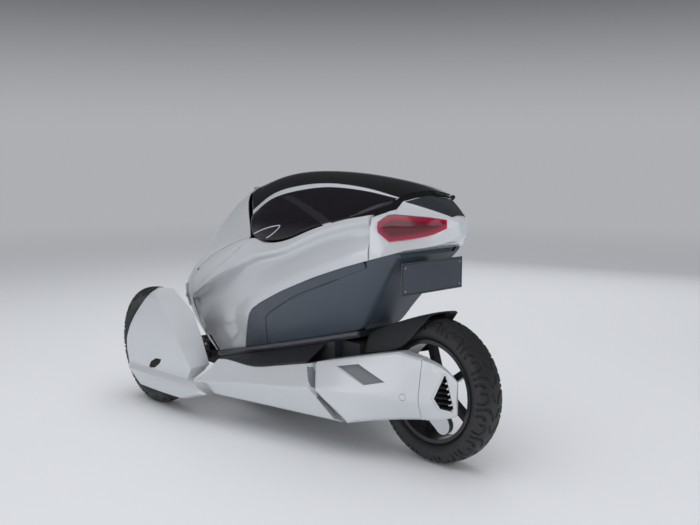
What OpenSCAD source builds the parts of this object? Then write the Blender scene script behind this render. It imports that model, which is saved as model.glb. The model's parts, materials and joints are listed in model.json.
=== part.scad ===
// Single-seat electric three-wheeled car: two faired, steered front wheels, one driven
// rear wheel on a single-sided arm, a tinted canopy that tips forward over the hood.
// X runs forward, Y to the left, Z up from the ground; sizes are in millimetres.

/* [Wheels] */
// Distance between the front and rear axles
wheelbase = 1655; // [1600:5:1720]
// Distance between the centre planes of the two front wheels
front_track = 800; // [780:2:840]
// Outer diameter of a front tyre
front_tyre_d = 626; // [600:2:640]
// Width of a front tyre
front_tyre_w = 110; // [96:2:116]
// Outer diameter of the rear tyre
rear_tyre_d = 640; // [620:2:650]
// Width of the rear tyre
rear_tyre_w = 150; // [130:2:156]
// Share of a tyre's diameter that its rim fills
bead_share = 0.682; // [0.66:0.002:0.7]
// Thickness of a rim's barrel
barrel_t = 7; // [5:0.5:10]
// Number of spokes in a wheel
spokes = 5; // [4:1:8]

/* [Axles and pins] */
// Diameter of the front stub axles and the rear axle
axle_d = 26; // [22:1:32]
// Outer diameter of a wheel hub
hub_d = 76; // [64:2:90]
// Diameter of the steering pivot pins
kingpin_d = 24; // [18:1:30]
// Distance from a front wheel's centre plane in to its steering axis
kingpin_in = 72; // [66:1:80]
// Outer diameter of a suspension arm tube
arm_tube_d = 22; // [18:1:26]
// Diameter of the canopy's hinge pin
hinge_pin_d = 12; // [8:1:16]
// Diameter of the handlebar's column
column_d = 32; // [26:1:40]
// Gap left all round a pin that turns in its hole
running_fit = 0.05; // [0.02:0.01:0.1]

/* [Body] */
// Greatest width across the waist
body_w = 662; // [640:2:690]
// Height of the canopy's crown above the ground
roof_h = 1262; // [1220:2:1300]
// Thickness of the cabin's side walls
wall = 32; // [24:1:40]
// Depth of the hollow under the shoulder
hollow = 20; // [0:1:28]
// Thickness of the nose, hood and wheel fairing shells
shell_t = 8; // [6:0.5:11]
// Thickness of the canopy glass
glass_t = 5; // [4:0.5:7]
// Thickness of the cabin floor
floor_t = 30; // [22:1:36]
// Width of the dark ledge along the sill
ledge = 16; // [10:1:20]
// Gap between two fixed body panels
shut_gap = 0.8; // [0.5:0.05:0.9]
// Gap between the canopy and the panels round it
lid_gap = 7; // [6:0.5:10]
// Gap between two pieces that are bolted together
seat_gap = 0.3; // [0.2:0.05:0.5]

/* [Pods and arm] */
// Height of the underside of the battery above the ground
belly_z = 165; // [150:1:190]
// Width of the battery
battery_w = 380; // [340:2:400]
// Number of louvres in the arm's grille
louvres = 6; // [4:1:8]
// Gap between the rear tyre and the arm or fender beside it
tyre_gap = 17; // [14:1:24]

/* [Rear plate] */
// Width of the number plate
plate_w = 390; // [300:5:420]
// Height of the number plate
plate_h = 140; // [110:2:160]
// Thickness of the number plate
plate_t = 4; // [3:0.5:6]

/* [Hidden] */
$fn = 48;
front_r = front_tyre_d / 2;
rear_r = rear_tyre_d / 2;
rear_axle_x = -(wheelbase + front_r - rear_r) / 2;
kingpin_y = front_track / 2 - kingpin_in;
// The lines below are drawn for this wheelbase, waist width and crown, and follow them
drawn = [1655, 662, 1262];
kx = wheelbase / drawn[0];
ky = body_w / drawn[1];
kz = roof_h / drawn[2];
// So do the fairings and the rear fender, drawn for these tyres
drawn_tyres = [626, 640];
kf = front_tyre_d / drawn_tyres[0];
kr = rear_tyre_d / drawn_tyres[1];
rear_lift = rear_r - drawn_tyres[1] / 2;

// Reading of lines
function mix(a, b, t) = a + (b - a) * t;
function unit(v) = v / norm(v);
function span(t, x, i = 0) = i >= len(t) - 2 || x < t[i + 1][0] ? i : span(t, x, i + 1);
function straight(t, c, x) =
  let (i = span(t, x), u = (x - t[i][0]) / (t[i + 1][0] - t[i][0]))
  mix(t[i][c], t[i + 1][c], u);
function tilt(t, c, i) =
  let (a = max(i - 1, 0), b = min(i + 1, len(t) - 1))
  (t[b][c] - t[a][c]) / (t[b][0] - t[a][0]);
function smooth(t, c, x) =
  let (i = span(t, x), h = t[i + 1][0] - t[i][0], u = (x - t[i][0]) / h)
  mix(t[i][c], t[i + 1][c], u * u * (3 - 2 * u))
  + h * u * (1 - u) * ((1 - u) * tilt(t, c, i) - u * tilt(t, c, i + 1));
function steps(a, b, n) = [for (i = [0:n]) mix(a, b, i / n)];

// Solids from rows of points
function volume(p, f) = [for (t = f) p[t[0]] * cross(p[t[1]], p[t[2]])] * [for (t = f) 1];
function quad(a, b, c, d) = [[a, b, c], [a, c, d]];

module solid(p, f) {
  polyhedron(p, volume(p, f) < 0 ? f : [for (t = f) [t[0], t[2], t[1]]], convexity = 6);
}

// A panel between an outer and an inner grid of points
module skin(outer, inner) {
  m = len(outer[0]);
  u = len(outer) - 1;
  v = m - 1;
  n = len(outer) * m;
  p = concat([for (r = outer) each r], [for (r = inner) each r]);
  solid(p, concat(
    [for (i = [0:u - 1], j = [0:v - 1])
      each quad(i * m + j, i * m + j + 1, (i + 1) * m + j + 1, (i + 1) * m + j)],
    [for (i = [0:u - 1], j = [0:v - 1]) let (k = n + i * m + j)
      each [[k, k + m + 1, k + 1], [k, k + m, k + m + 1]]],
    [for (j = [0:v - 1]) each quad(j + 1, j, n + j, n + j + 1)],
    [for (j = [0:v - 1]) let (k = u * m + j) each quad(k, k + 1, n + k + 1, n + k)],
    [for (i = [0:u - 1]) let (k = i * m) each quad(k, k + m, n + k + m, n + k)],
    [for (i = [0:u - 1]) let (k = i * m + v) each quad(k + m, k, n + k, n + k + m)]));
}

// A closed solid through rings of points
module loft(rings) {
  n = len(rings);
  m = len(rings[0]);
  ones = [for (j = [0:m - 1]) 1 / m];
  p = concat([for (r = rings) each r], [ones * rings[0], ones * rings[n - 1]]);
  solid(p, concat(
    [for (i = [0:n - 2], j = [0:m - 1]) let (k = (j + 1) % m)
      each quad(i * m + j, i * m + k, (i + 1) * m + k, (i + 1) * m + j)],
    [for (j = [0:m - 1]) [n * m, (j + 1) % m, j]],
    [for (j = [0:m - 1]) [n * m + 1, (n - 1) * m + j, (n - 1) * m + (j + 1) % m]]));
}

// Grid pushed inward along its own normals
function lean(g, i, j) =
  let (a = g[max(i - 1, 0)][j], b = g[min(i + 1, len(g) - 1)][j],
    c = g[i][max(j - 1, 0)], d = g[i][min(j + 1, len(g[0]) - 1)])
  unit(cross(b - a, d - c));
function pushed(g, t) =
  [for (i = [0:len(g) - 1]) [for (j = [0:len(g[0]) - 1]) g[i][j] + t * lean(g, i, j)]];
// Grid drawn toward one point
function drawn_in(g, core, t) = [for (r = g) [for (p = r) p + t * unit(core - p)]];
// Grid moved by one vector
function moved(g, v) = [for (r = g) [for (p = r) p + v]];

module both() {
  children();
  mirror([0, 1, 0]) children();
}
module right() {
  mirror([0, 1, 0]) children();
}
module rod(a, b, d) {
  v = b - a;
  translate(a)
    rotate([0, acos(v[2] / norm(v)), atan2(v[1], v[0])])
      cylinder(d = d, h = norm(v));
}
// A cylinder along Y from y0 to y1
module across(x, z, y0, y1, d) {
  translate([x, y1, z]) rotate([90, 0, 0]) cylinder(d = d, h = y1 - y0);
}

// Body side, left: station, shoulder y, shoulder z, waist y, waist z, ridge's drop below the
// shoulder, how far the side below the waist swells
side_lines = [
  [  40, 186, 1140, 203, 941, 26,  0],
  [ 170, 256, 1094, 262, 899, 24,  6],
  [ 300, 288, 1067, 300, 857, 22, 14],
  [ 470, 303, 1019, 324, 797, 24, 14],
  [ 690, 305,  945, 331, 710, 32, 14],
  [ 860, 291,  922, 320, 634, 46, 12],
  [ 990, 268,  931, 298, 570, 86,  8],
  [1140, 252,  856, 262, 500, 70,  2],
  [1290, 236,  775, 216, 452, 50,  0],
  [1420, 219,  705, 196, 420, 34,  0],
  [1660, 188,  556, 190, 340,  8,  0]];
// Lower edge of the side: station, y, z
sill_line = [
  [  40, 201, 943],
  [ 363, 126, 545],
  [ 622, 205, 480],
  [ 877, 240, 417],
  [1096, 222, 362],
  [1260, 190, 321],
  [1420, 174, 281],
  [1660, 168, 224]];
// Lower edge of the white wall: station, z
white_edge = [
  [ 170, 899], [ 300, 857], [ 470, 797], [ 690, 710], [ 860, 634], [ 945, 591],
  [ 984, 559], [1016, 515], [1122, 355], [1412, 283], [1645, 563]];
// Upper edge of the lower panel: station, z
panel_edge = [
  [  60, 934], [ 184, 894], [ 196, 862], [ 502, 732], [ 790, 603], [ 830, 580],
  [ 850, 552], [ 892, 413]];
// How far the wall under the ridge stands in or out, by share of its height
hollow_shape = [
  [0, 0.45], [0.06, 0.2], [0.16, -0.85], [0.3, -1], [0.55, -0.4], [0.78, 0.12], [1, 0]];
panel_step = 4;

function sx(x) = x / kx;
function shoulder(x) = [x, ky * smooth(side_lines, 1, sx(x)), kz * smooth(side_lines, 2, sx(x))];
function waist(x) = [x, ky * smooth(side_lines, 3, sx(x)), kz * smooth(side_lines, 4, sx(x))];
function sill(x) = [x, ky * straight(sill_line, 1, sx(x)), kz * straight(sill_line, 2, sx(x))];
function side_y(x, z) =
  let (s = shoulder(x), w = waist(x), b = sill(x))
  z > w[2]
  ? let (f = max(0, (s[2] - z) / (s[2] - w[2])), d = kz * smooth(side_lines, 5, sx(x)),
      r = (s[2] - d - z) / (s[2] - d - w[2]))
    mix(s[1], w[1], f)
      + hollow * (r > 0 ? straight(hollow_shape, 1, r) : hollow_shape[0][1] * (s[2] - z) / d)
  : let (g = min(1, (w[2] - z) / max(w[2] - b[2], 1)))
    mix(w[1], b[1], g) + smooth(side_lines, 6, sx(x)) * 4 * g * (1 - g);
// Columns of wall points between an upper and a lower height
function wall_grid(xs, tops, feet, rows, step = 0) =
  [for (i = [0:len(xs) - 1])
    [for (t = steps(0, 1, rows))
      let (z = mix(tops[i], feet[i], t)) [xs[i], side_y(xs[i], z) - step, z]]];
function white_foot(x) = kz * straight(white_edge, 1, sx(x));
function panel_top(x) = kz * straight(panel_edge, 1, sx(x));

wall_xs = [for (x = [176, 230, 300, 385, 470, 545, 620, 690, 775, 860, 945, 984, 1016, 1068, 1122,
  1190, 1260, 1336, 1412, 1490, 1570, 1630]) x * kx];
strip_xs = [for (x = [200, 300, 400, 502, 595, 690, 790, 830, 850, 870, 892, 945, 984, 1016, 1068, 1108])
  x * kx];
panel_xs = [for (x = [66, 120, 184, 196, 300, 363, 430, 502, 595, 690, 790, 830, 850, 870, 885]) x * kx];

module side_wall() {
  g = wall_grid(wall_xs, [for (x = wall_xs) shoulder(x)[2] - shut_gap],
    [for (x = wall_xs) white_foot(x) + shut_gap], 14);
  skin(g, moved(g, [0, -wall, 0]));
}
module waist_strip() {
  g = wall_grid(strip_xs, [for (x = strip_xs) white_foot(x)],
    [for (x = strip_xs) sx(x) < 892 ? panel_top(x) + shut_gap : sill(x)[2] + seat_gap], 4, panel_step);
  skin(g, moved(g, [0, -wall + panel_step, 0]));
}
module lower_panel() {
  g = wall_grid(panel_xs, [for (x = panel_xs) panel_top(x)],
    [for (x = panel_xs) sill(x)[2] + seat_gap], 5, panel_step);
  skin(g, moved(g, [0, -wall + panel_step, 0]));
}
module side_wall_left() color("gainsboro") side_wall();
module side_wall_right() color("gainsboro") right() side_wall();
module waist_strips() color("slategray") both() waist_strip();
module lower_panels() color("slategray") both() lower_panel();

// Cabin floor, sill rails and what they stand on
floor_back = 372 * kx;
floor_front = 1412 * kx;
function floor_z(x) = sill(x)[2];
floor_xs = [floor_back, for (x = [450, 540, 622, 750, 877, 1000, 1096, 1180, 1260, 1340]) x * kx, floor_front];

module floor_pan() color("dimgray")
  loft([for (x = floor_xs) let (s = sill(x), w = s[1] - ledge / 4)
    [[x, w, s[2]], [x, w, s[2] - floor_t], [x, -w, s[2] - floor_t], [x, -w, s[2]]]]);

module sill_rails() color("rosybrown") both()
  loft([for (x = floor_xs) let (s = sill(x), a = s[1] - ledge / 4 + seat_gap, b = s[1] + ledge)
    [[x, a, s[2] - shut_gap], [x, b - ledge / 3, s[2] - shut_gap], [x, b, s[2] - ledge],
      [x, a, s[2] - floor_t]]]);

battery_back = 470 * kx;
battery_front = 1240 * kx;
module battery_pack() color("darkslategray")
  translate([0, battery_w / 2, 0]) rotate([90, 0, 0])
    linear_extrude(battery_w)
      polygon([
        [battery_back, belly_z], [battery_front, belly_z],
        for (x = [1240, 1096, 877, 622, 470]) [x * kx, floor_z(x * kx) - floor_t - seat_gap]]);

subframe_w = 176;
subframe_h = floor_z(floor_front) - floor_t - belly_z - ledge;
subframe_front = wheelbase + 66;
tower_l = 80;
tower_top = 304 * kz;
module front_subframe() color("dimgray") {
  translate([battery_front + seat_gap, -subframe_w / 2, belly_z])
    cube([subframe_front - battery_front - seat_gap, subframe_w, subframe_h]);
  translate([subframe_front - tower_l, -subframe_w / 2, belly_z])
    cube([tower_l, subframe_w, tower_top - belly_z]);
}

pivot_back = rear_r + 30;
pivot_d = 64;
pivot_x = pivot_back + pivot_d / 4;
pivot_z = 345 + rear_lift;
function pivot_half() = arm_inner(pivot_back) - ledge / 2;
module arm_pivot() color("dimgray")
  translate([pivot_back, -pivot_half(), belly_z + ledge])
    cube([battery_back - seat_gap - pivot_back, 2 * pivot_half(),
      floor_z(battery_back) - floor_t - seat_gap - belly_z - ledge]);

// Sloping closure behind the seat, between the two sides
bulkhead_t = 24;
function keel(t) = let (x = mix(362, 65, t) * kx) sill(x);
keel_up = unit(keel(1) - keel(0));
keel_in = unit([keel_up[2], 0, -keel_up[0]]);
module rear_bulkhead() color("dimgray")
  loft([for (t = [0, 0.5, 1]) let (k = keel(t), w = k[1] - wall - seat_gap, q = k + bulkhead_t * keel_in)
    [[k[0], w, k[2]], [k[0], -w, k[2]], [q[0], -w, q[2]], [q[0], w, q[2]]]]);

// Hood, nose and the ridge on each side of the hood
// Canopy's front edge: corner and crown; hood's front edge: corner and tip
brow = [[992, 266, 936], [1262, 0, 1160]];
lip = [[1667, 140, 691], [1788, 0, 703]];
brow_power = 1.3;
hood_rise = [28, 0, 42];
function to_body(p) = [p[0] * kx, p[1] * ky, p[2] * kz];
function brow_at(a, inset = 0) =
  let (c = to_body(brow[0]), t = to_body(brow[1]), u = cos(a), s = pow(1 - u * u, brow_power))
  [mix(c[0], t[0], s), (c[1] - inset) * u, mix(c[2], t[2], pow(1 - u * u, 1.1)) - inset * sin(a)];
function lip_at(a, inset = 0) =
  let (c = to_body(lip[0]), t = to_body(lip[1]))
  [c[0] + (t[0] - c[0] - inset) * sin(a), (c[1] - inset) * cos(a), mix(c[2], t[2], sin(a))];
function hood_at(a, v, inset = 0) =
  mix(brow_at(a, inset), lip_at(a, inset), v)
  + to_body(hood_rise) * 4 * v * (1 - v) * (0.6 + 0.4 * sin(a));
hood_angles = steps(0, 180, 18);
hood_rows = steps(lid_gap * 3 / 700, 1, 10);
module hood() color("whitesmoke")
  skin([for (v = hood_rows) [for (a = hood_angles) hood_at(a, v)]],
    [for (v = hood_rows) [for (a = hood_angles) hood_at(a, v, shell_t)]]);

// Nose by level, from the hood's lip down: share, side x, side y, side z, tip x, tip z
nose_levels = [
  [0,    1667, 140, 690, 1788, 702],
  [0.12, 1662, 166, 630, 1832, 650],
  [0.25, 1648, 190, 568, 1838, 590],
  [0.6,  1570, 188, 429, 1750, 420],
  [1,    1420, 180, 286, 1520, 262]];
function nose_at(a, w, inset = 0) =
  let (x = kx * smooth(nose_levels, 1, w), y = ky * smooth(nose_levels, 2, w) - inset,
    z = kz * smooth(nose_levels, 3, w), tx = kx * smooth(nose_levels, 4, w) - inset,
    tz = kz * smooth(nose_levels, 5, w))
  [x + (tx - x) * sin(a), y * cos(a), mix(z, tz, sin(a))];
nose_rows = concat(steps(0, 0.25, 4), [0.37, 0.5, 0.62, 0.75, 0.88, 1]);
nose_angles = steps(0, 180, 18);
// Ridge between the hood's edge and the wall
hood_edge = [for (v = hood_rows) hood_at(0, v)];
ridge_xs = [for (x = wall_xs) if (x > 1000 * kx) x];
ridge_out = 10;
module ridge() {
  g = [for (x = ridge_xs)
    let (top = [x, straight(hood_edge, 1, x), straight(hood_edge, 2, x) - 2 * seat_gap],
      swell = ridge_out * 4 * (x - ridge_xs[0]) / (wall_xs[len(wall_xs) - 1] - ridge_xs[0]))
    [for (t = steps(0, 1, 4)) mix(top, shoulder(x), t) + [0, swell * t * (1 - t), 0]]];
  skin(g, moved(g, [0, -shell_t, 0]));
}
module nose_cowl() color("whitesmoke") {
  skin([for (w = nose_rows) [for (a = nose_angles) nose_at(a, w)]],
    [for (w = nose_rows) [for (a = nose_angles) nose_at(a, w, shell_t)]]);
  both() ridge();
}
lamp_angles = steps(18, 52, 5);
lamp_rows = steps(0.16, 0.42, 5);
lamp_t = 6;
module headlamps() color("lightcyan") both()
  skin([for (w = lamp_rows) [for (a = lamp_angles) nose_at(a, w + (a - 18) / 500, -lamp_t)]],
    [for (w = lamp_rows) [for (a = lamp_angles) nose_at(a, w + (a - 18) / 500, -seat_gap * 5)]]);

// Tail by station: crown z, deck edge y and z, lamp top y and z, lamp foot y and z, floor z
tail_lines = [
  [-130, 1074,  18, 1071,  30, 1066,  30, 1047, 1008],
  [-100, 1094,  40, 1088,  50, 1074,  50, 1046,  985],
  [ -40, 1124,  80, 1112,  96, 1086,  96, 1010,  960],
  [  30, 1154, 124, 1136, 156, 1093, 152,  990,  945],
  [  76, 1172, 152, 1150, 194, 1097, 188,  982,  934],
  [  80, 1108, 184, 1118, 197, 1098, 191,  981,  933],
  [ 103, 1098, 202, 1110, 217, 1095, 209,  978,  928],
  [ 153, 1078, 236, 1088, 247, 1056, 247, 1030,  912],
  [ 172, 1070, 246, 1080, 256, 1040, 257, 1034,  906]];
deck_t = 4;
lens_t = 11;
function tail(c, x) = straight(tail_lines, c, sx(x));
// How deep the lamp's seat goes at a station
function lens_depth(x) = lens_t * max(0, min(1, (153 - sx(x)) / 50, (sx(x) + 100) / 60));
function deck_depth(x) = deck_t * max(0, min(1, (72 - sx(x)) / 12, (sx(x) + 108) / 20));
// Half section of the tail from its crown round to its floor
function tail_half(x, lens = 1, deck = 1) =
  let (d = deck_depth(x) * deck, e = lens_depth(x) * lens,
    foot_y = sx(x) > 30 ? waist(x)[1] : ky * mix(16, 196, pow((sx(x) + 130) / 160, 1.2)),
    foot_z = sx(x) > 30 ? waist(x)[2] + shut_gap : kz * (tail(8, x) + 2))
  [[x, 0, kz * tail(1, x) - d],
    [x, ky * tail(2, x), kz * tail(3, x) - d],
    [x, ky * tail(2, x) + 1, kz * tail(3, x)],
    [x, ky * mix(tail(2, x), tail(4, x), 0.5), kz * (mix(tail(3, x), tail(5, x), 0.45) + 6)],
    [x, ky * tail(4, x), kz * tail(5, x)],
    [x, ky * tail(4, x) - e, kz * tail(5, x) - 1],
    [x, ky * tail(6, x) - e, kz * tail(7, x) + 1],
    [x, ky * tail(6, x), kz * tail(7, x)],
    [x, foot_y, foot_z],
    [x, 0, min(foot_z, kz * tail(8, x))]];
tail_xs = [for (x = [-130, -100, -70, -40, -5, 30, 58, 76, 80, 103, 128, 153, 170]) x * kx];
function mirrored(l) = [for (i = [len(l) - 2:-1:1]) [l[i][0], -l[i][1], l[i][2]]];
module tail_cowl() color("whitesmoke")
  loft([for (x = tail_xs) let (h = tail_half(x)) concat(h, mirrored(h))]);

deck_xs = [for (x = [-98, -70, -40, -5, 30, 58, 70]) x * kx];
module tail_deck() color("dimgray") {
  top = [for (x = deck_xs) let (h = tail_half(x, 1, 0))
    [for (u = steps(-1, 1, 6)) [x, (h[1][1] - shut_gap) * u, mix(h[0][2], h[1][2], abs(u)) + 1]]];
  skin(top, [for (x = deck_xs) let (h = tail_half(x))
    [for (u = steps(-1, 1, 6)) [x, (h[1][1] - shut_gap) * u, mix(h[0][2], h[1][2], abs(u)) + seat_gap]]]);
}
lens_xs = [for (x = [-88, -70, -40, -5, 30, 58, 76, 80, 103, 128, 140]) x * kx];
lens_peak = 7;
module tail_lamps() color("firebrick") both() {
  face = [for (x = lens_xs) let (h = tail_half(x, 0))
    [for (t = steps(0, 1, 4))
      mix(h[4], h[7], mix(0.03, 0.97, t)) + [0, lens_peak * (1 - abs(2 * t - 1)), 0]]];
  back = [for (x = lens_xs) let (h = tail_half(x))
    [for (t = steps(0, 1, 4)) mix(h[5], h[6], mix(0.05, 0.95, t)) + [0, shut_gap, 0]]];
  skin(face, back);
}

// Number plate hung behind the sloping closure
plate_x = 44 * kx;
plate_z = 820 * kz;
bracket_w = 120;
bracket_h = 60;
function keel_x(z) = let (a = keel(0), b = keel(1)) mix(a[0], b[0], (z - a[2]) / (b[2] - a[2]));
module plate_bracket() color("black")
  translate([0, bracket_w / 2, 0]) rotate([90, 0, 0])
    linear_extrude(bracket_w)
      polygon([for (z = [plate_z - bracket_h / 2, plate_z + bracket_h / 2])
          [plate_x + seat_gap, z],
        for (z = [plate_z + bracket_h / 2, plate_z - bracket_h / 2]) [keel_x(z) - seat_gap * 2, z]]);
module number_plate() color("darkslateblue")
  translate([plate_x - plate_t, -plate_w / 2, plate_z - plate_h / 2]) cube([plate_t, plate_w, plate_h]);

// Front pod, left: station, top y, top z, crease y, crease z, foot y, foot z, inner y, foot's set-back
pod_lines = [
  [ 497, 316, 400, 356, 300, 298, 160, 190, -180],
  [ 620, 330, 374, 380, 278, 326, 154, 190,  -90],
  [ 870, 366, 318, 414, 250, 384, 152, 190,    0],
  [1060, 394, 334, 438, 222, 414, 148, 205,    0],
  [1110, 404, 325, 444, 214, 424, 150, 250,    0],
  [1170, 420, 264, 452, 208, 436, 184, 332,    0],
  [1226, 438, 210, 456, 203, 446, 194, 426,    0]];
pod_ends = [497, 1226];
pod_tip = wheelbase - (drawn[0] - pod_ends[1]) * kf;
function pod_x(x) = mix(pod_ends[0] * kx, pod_tip, (x - pod_ends[0]) / (pod_ends[1] - pod_ends[0]));
function pod_sx(x) = mix(pod_ends[0], pod_ends[1], (x - pod_ends[0] * kx) / (pod_tip - pod_ends[0] * kx));
pod_xs = [for (x = [497, 555, 620, 745, 870, 965, 1060, 1110, 1140, 1170, 1198, 1226]) pod_x(x)];
pod_y = battery_w / 2 + seat_gap;
pod_out = front_track / 2 - 400;
function pod(c, x) = straight(pod_lines, c, pod_sx(x)) * (c == 2 || c == 4 || c == 6 ? kz : 1);
function pod_ring(x) =
  let (b = pod(8, x), in_y = pod_y + pod(7, x) - 190)
  [[x, in_y, pod(2, x) - 6], [x, pod(1, x) - 8 + pod_out, pod(2, x)],
    [x, pod(1, x) + pod_out, pod(2, x) - 6], [x + b / 6, pod(3, x) + pod_out, pod(4, x) + 4],
    [x + b / 6, pod(3, x) + pod_out, pod(4, x) - 4], [x + b, pod(5, x) + pod_out, pod(6, x) + 8],
    [x + b, pod(5, x) - 12 + pod_out, pod(6, x)], [x + b, in_y, pod(6, x)]];
module pod() loft([for (x = pod_xs) pod_ring(x)]);
module pod_left() color("whitesmoke") pod();
module pod_right() color("whitesmoke") right() pod();

// Dark panel from the sill down to the pod
insert_xs = [for (x = [530, 620, 745, 870, 965, 1060, 1100]) pod_x(x)];
insert_t = 9;
module pod_inserts() color("black") both() {
  g = [for (x = insert_xs) let (s = sill(x))
    [for (t = steps(0, 1, 3))
      [x, mix(max(s[1] + ledge / 3, battery_w / 2 + shut_gap), pod(1, x) - 10 + pod_out, t),
        mix(s[2] - floor_t - shut_gap, pod(2, x) + shut_gap + insert_t, t)]]];
  skin(g, moved(g, [0, 0, -insert_t]));
}

// Rear arm, left: station, top y, top z, crease y, crease z, foot y, foot z, inner y, foot's set-back
arm_lines = [
  [-24, 138, 482, 160, 300, 136, 215,  92,    0],
  [ 99, 160, 496, 198, 298, 168, 196,  92,   -6],
  [215, 206, 471, 252, 298, 216, 182, 100,  -30],
  [345, 262, 440, 312, 298, 268, 170, 150,  -96],
  [470, 308, 410, 352, 300, 292, 162, 206, -186]];
arm_xs = [for (x = [-24, 20, 60, 99, 157, 215, 280, 345, 407, 468]) x * kx];
arm_in = rear_tyre_w / 2 + tyre_gap;
function arm(c, x) = straight(arm_lines, c, sx(x)) + (c == 2 || c == 4 || c == 6 ? rear_lift : 0);
function arm_inner(x) = arm(7, x) - 92 + arm_in;
function arm_side(c, x) = arm(c, x) - 92 + arm_in;
function arm_ring(x) =
  let (b = arm(8, x), y = arm_inner(x))
  [[x, y, arm(2, x)], [x, arm_side(1, x) - 10, arm(2, x)],
    [x, arm_side(1, x), arm(2, x) - 8], [x + b / 4, arm_side(3, x), arm(4, x) + 5],
    [x + b / 4, arm_side(3, x), arm(4, x) - 5], [x + b, arm_side(5, x), arm(6, x) + 10],
    [x + b, arm_side(5, x) - 10, arm(6, x)], [x + b, y, arm(6, x)]];
module swing_arm() color("whitesmoke") {
  loft([for (x = arm_xs) arm_ring(x)]);
  across(pivot_x, pivot_z, pivot_half() + seat_gap, arm_inner(pivot_x) + pivot_d, pivot_d);
}

// Cap on the arm's end: station, top y, top z, crease y, crease z, foot y, foot z
cap_lines = [
  [-192,  98, 404,  104, 330,  98, 262],
  [-150, 106, 440,  114, 312, 106, 240],
  [-100, 118, 464,  132, 302, 118, 226],
  [ -26, 137, 480,  159, 300, 135, 216]];
cap_flat = 5;
cap_xs = [for (x = [-192, -171, -150, -100, -63, -26]) x * kx - shut_gap];
function cap(c, x) = straight(cap_lines, c, sx(x)) + (c % 2 == 1 ? arm_in - 92 : rear_lift);
function cap_ring(x) =
  [[x, arm_in, cap(2, x)], [x, cap(1, x), cap(2, x)], [x, cap(3, x), cap(4, x) + cap_flat],
    [x, cap(3, x), cap(4, x) - cap_flat], [x, cap(5, x), cap(6, x)], [x, arm_in, cap(6, x)]];
module arm_cap() color("whitesmoke") loft([for (x = cap_xs) cap_ring(x)]);

// Louvres standing on the cap's face, each longer than the one above
louvre_gap = 3;
grille_top = 418 + rear_lift;
grille_foot = 282 + rear_lift;
louvre_h = (grille_top - grille_foot) / louvres - louvre_gap;
function cap_y(x, z) =
  let (c = cap(4, x), up = max(0, z - c - cap_flat), down = max(0, c - cap_flat - z))
  mix(mix(cap(3, x), cap(1, x), up / (cap(2, x) - c - cap_flat)), cap(5, x),
    down / (c - cap_flat - cap(6, x)));
module arm_grille() color("black")
  for (i = [0:louvres - 1]) {
    z = grille_top - (i + 1) * (louvre_h + louvre_gap);
    x0 = -134 * kx - i * 6;
    x1 = mix(-124, -84, i / (louvres - 1)) * kx;
    loft([for (x = [x0, x1])
      [[x, cap_y(x, z) + 4 * seat_gap, z], [x, cap_y(x, z) + 9, z],
        [x, cap_y(x, z + louvre_h) + 2, z + louvre_h], [x, cap_y(x, z + louvre_h) + 4 * seat_gap, z + louvre_h]]]);
  }

// Drive unit between the arm and the wheel, and the axle it carries
drive_d = 176;
drive_w = 34;
lobe = [-104, -118];
lobe_d = 84;
module drive_housing() color("silver")
  difference() {
    union() {
      across(0, rear_r, arm_in - seat_gap - drive_w, arm_in - seat_gap, drive_d);
      translate([0, arm_in - seat_gap, rear_r]) rotate([90, 0, 0]) linear_extrude(drive_w - 8)
        polygon([[-70, 40], [lobe[0] - lobe_d * 0.36, lobe[1] + lobe_d * 0.32],
          [lobe[0] + lobe_d * 0.36, lobe[1] - lobe_d * 0.34], [30, -70]]);
      across(lobe[0], rear_r + lobe[1], arm_in - seat_gap - drive_w + 8, arm_in - seat_gap, lobe_d);
    }
    across(0, rear_r, arm_in - drive_w - 2, arm_in + 1, axle_d + 2 * seat_gap);
  }
rear_hub = [-54, 40];
module rear_axle() color("dimgray") {
  across(0, rear_r, rear_hub[0] - 22, arm_in - seat_gap, axle_d);
  across(0, rear_r, rear_hub[0] - 22, rear_hub[0] - 4, axle_d * 1.7);
}

// Hugger over the front of the rear tyre: station, left y, left z, top y, top z, right z
fender_lines = [
  [-30,  84, 664, 62, 672, 656],
  [ 10,  92, 622, 66, 664, 610],
  [ 60, 100, 566, 70, 650, 540],
  [110, 106, 512, 74, 634, 470],
  [200, 108, 482, 78, 602, 440],
  [280, 112, 462, 84, 566, 430],
  [340, 118, 452, 90, 536, 440]];
fender_xs = [for (x = [-30, 10, 60, 110, 200, 280, 340]) x * kr];
fender_t = 6;
function fender(c, x) = straight(fender_lines, c, x / kr);
function fender_z(c, x) = rear_r + (fender(c, x) - drawn_tyres[1] / 2) * kr;
function fender_left(x) = x < 150 * kr ? fender_z(2, x) : arm(2, x) + fender_t * 0.75;
module rear_fender() color("black") {
  g = [for (x = fender_xs)
    let (l = fender(1, x) + arm_in - 92, t = fender(3, x), z = fender_z(4, x), foot = fender_z(5, x))
    [[x, l + 4, fender_left(x)], [x, mix(l, t, 0.45) + 4, mix(fender_left(x), z, 0.6)],
      [x, t, z - 4], [x, t * 0.5, z], [x, -t * 0.5, z], [x, -t, z - 4],
      [x, -mix(l, t, 0.45) - 4, mix(foot, z, 0.6)], [x, -l - 4, foot]]];
  skin(g, drawn_in(g, [rear_r / 2, 0, rear_r + 60], fender_t));
}

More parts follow.
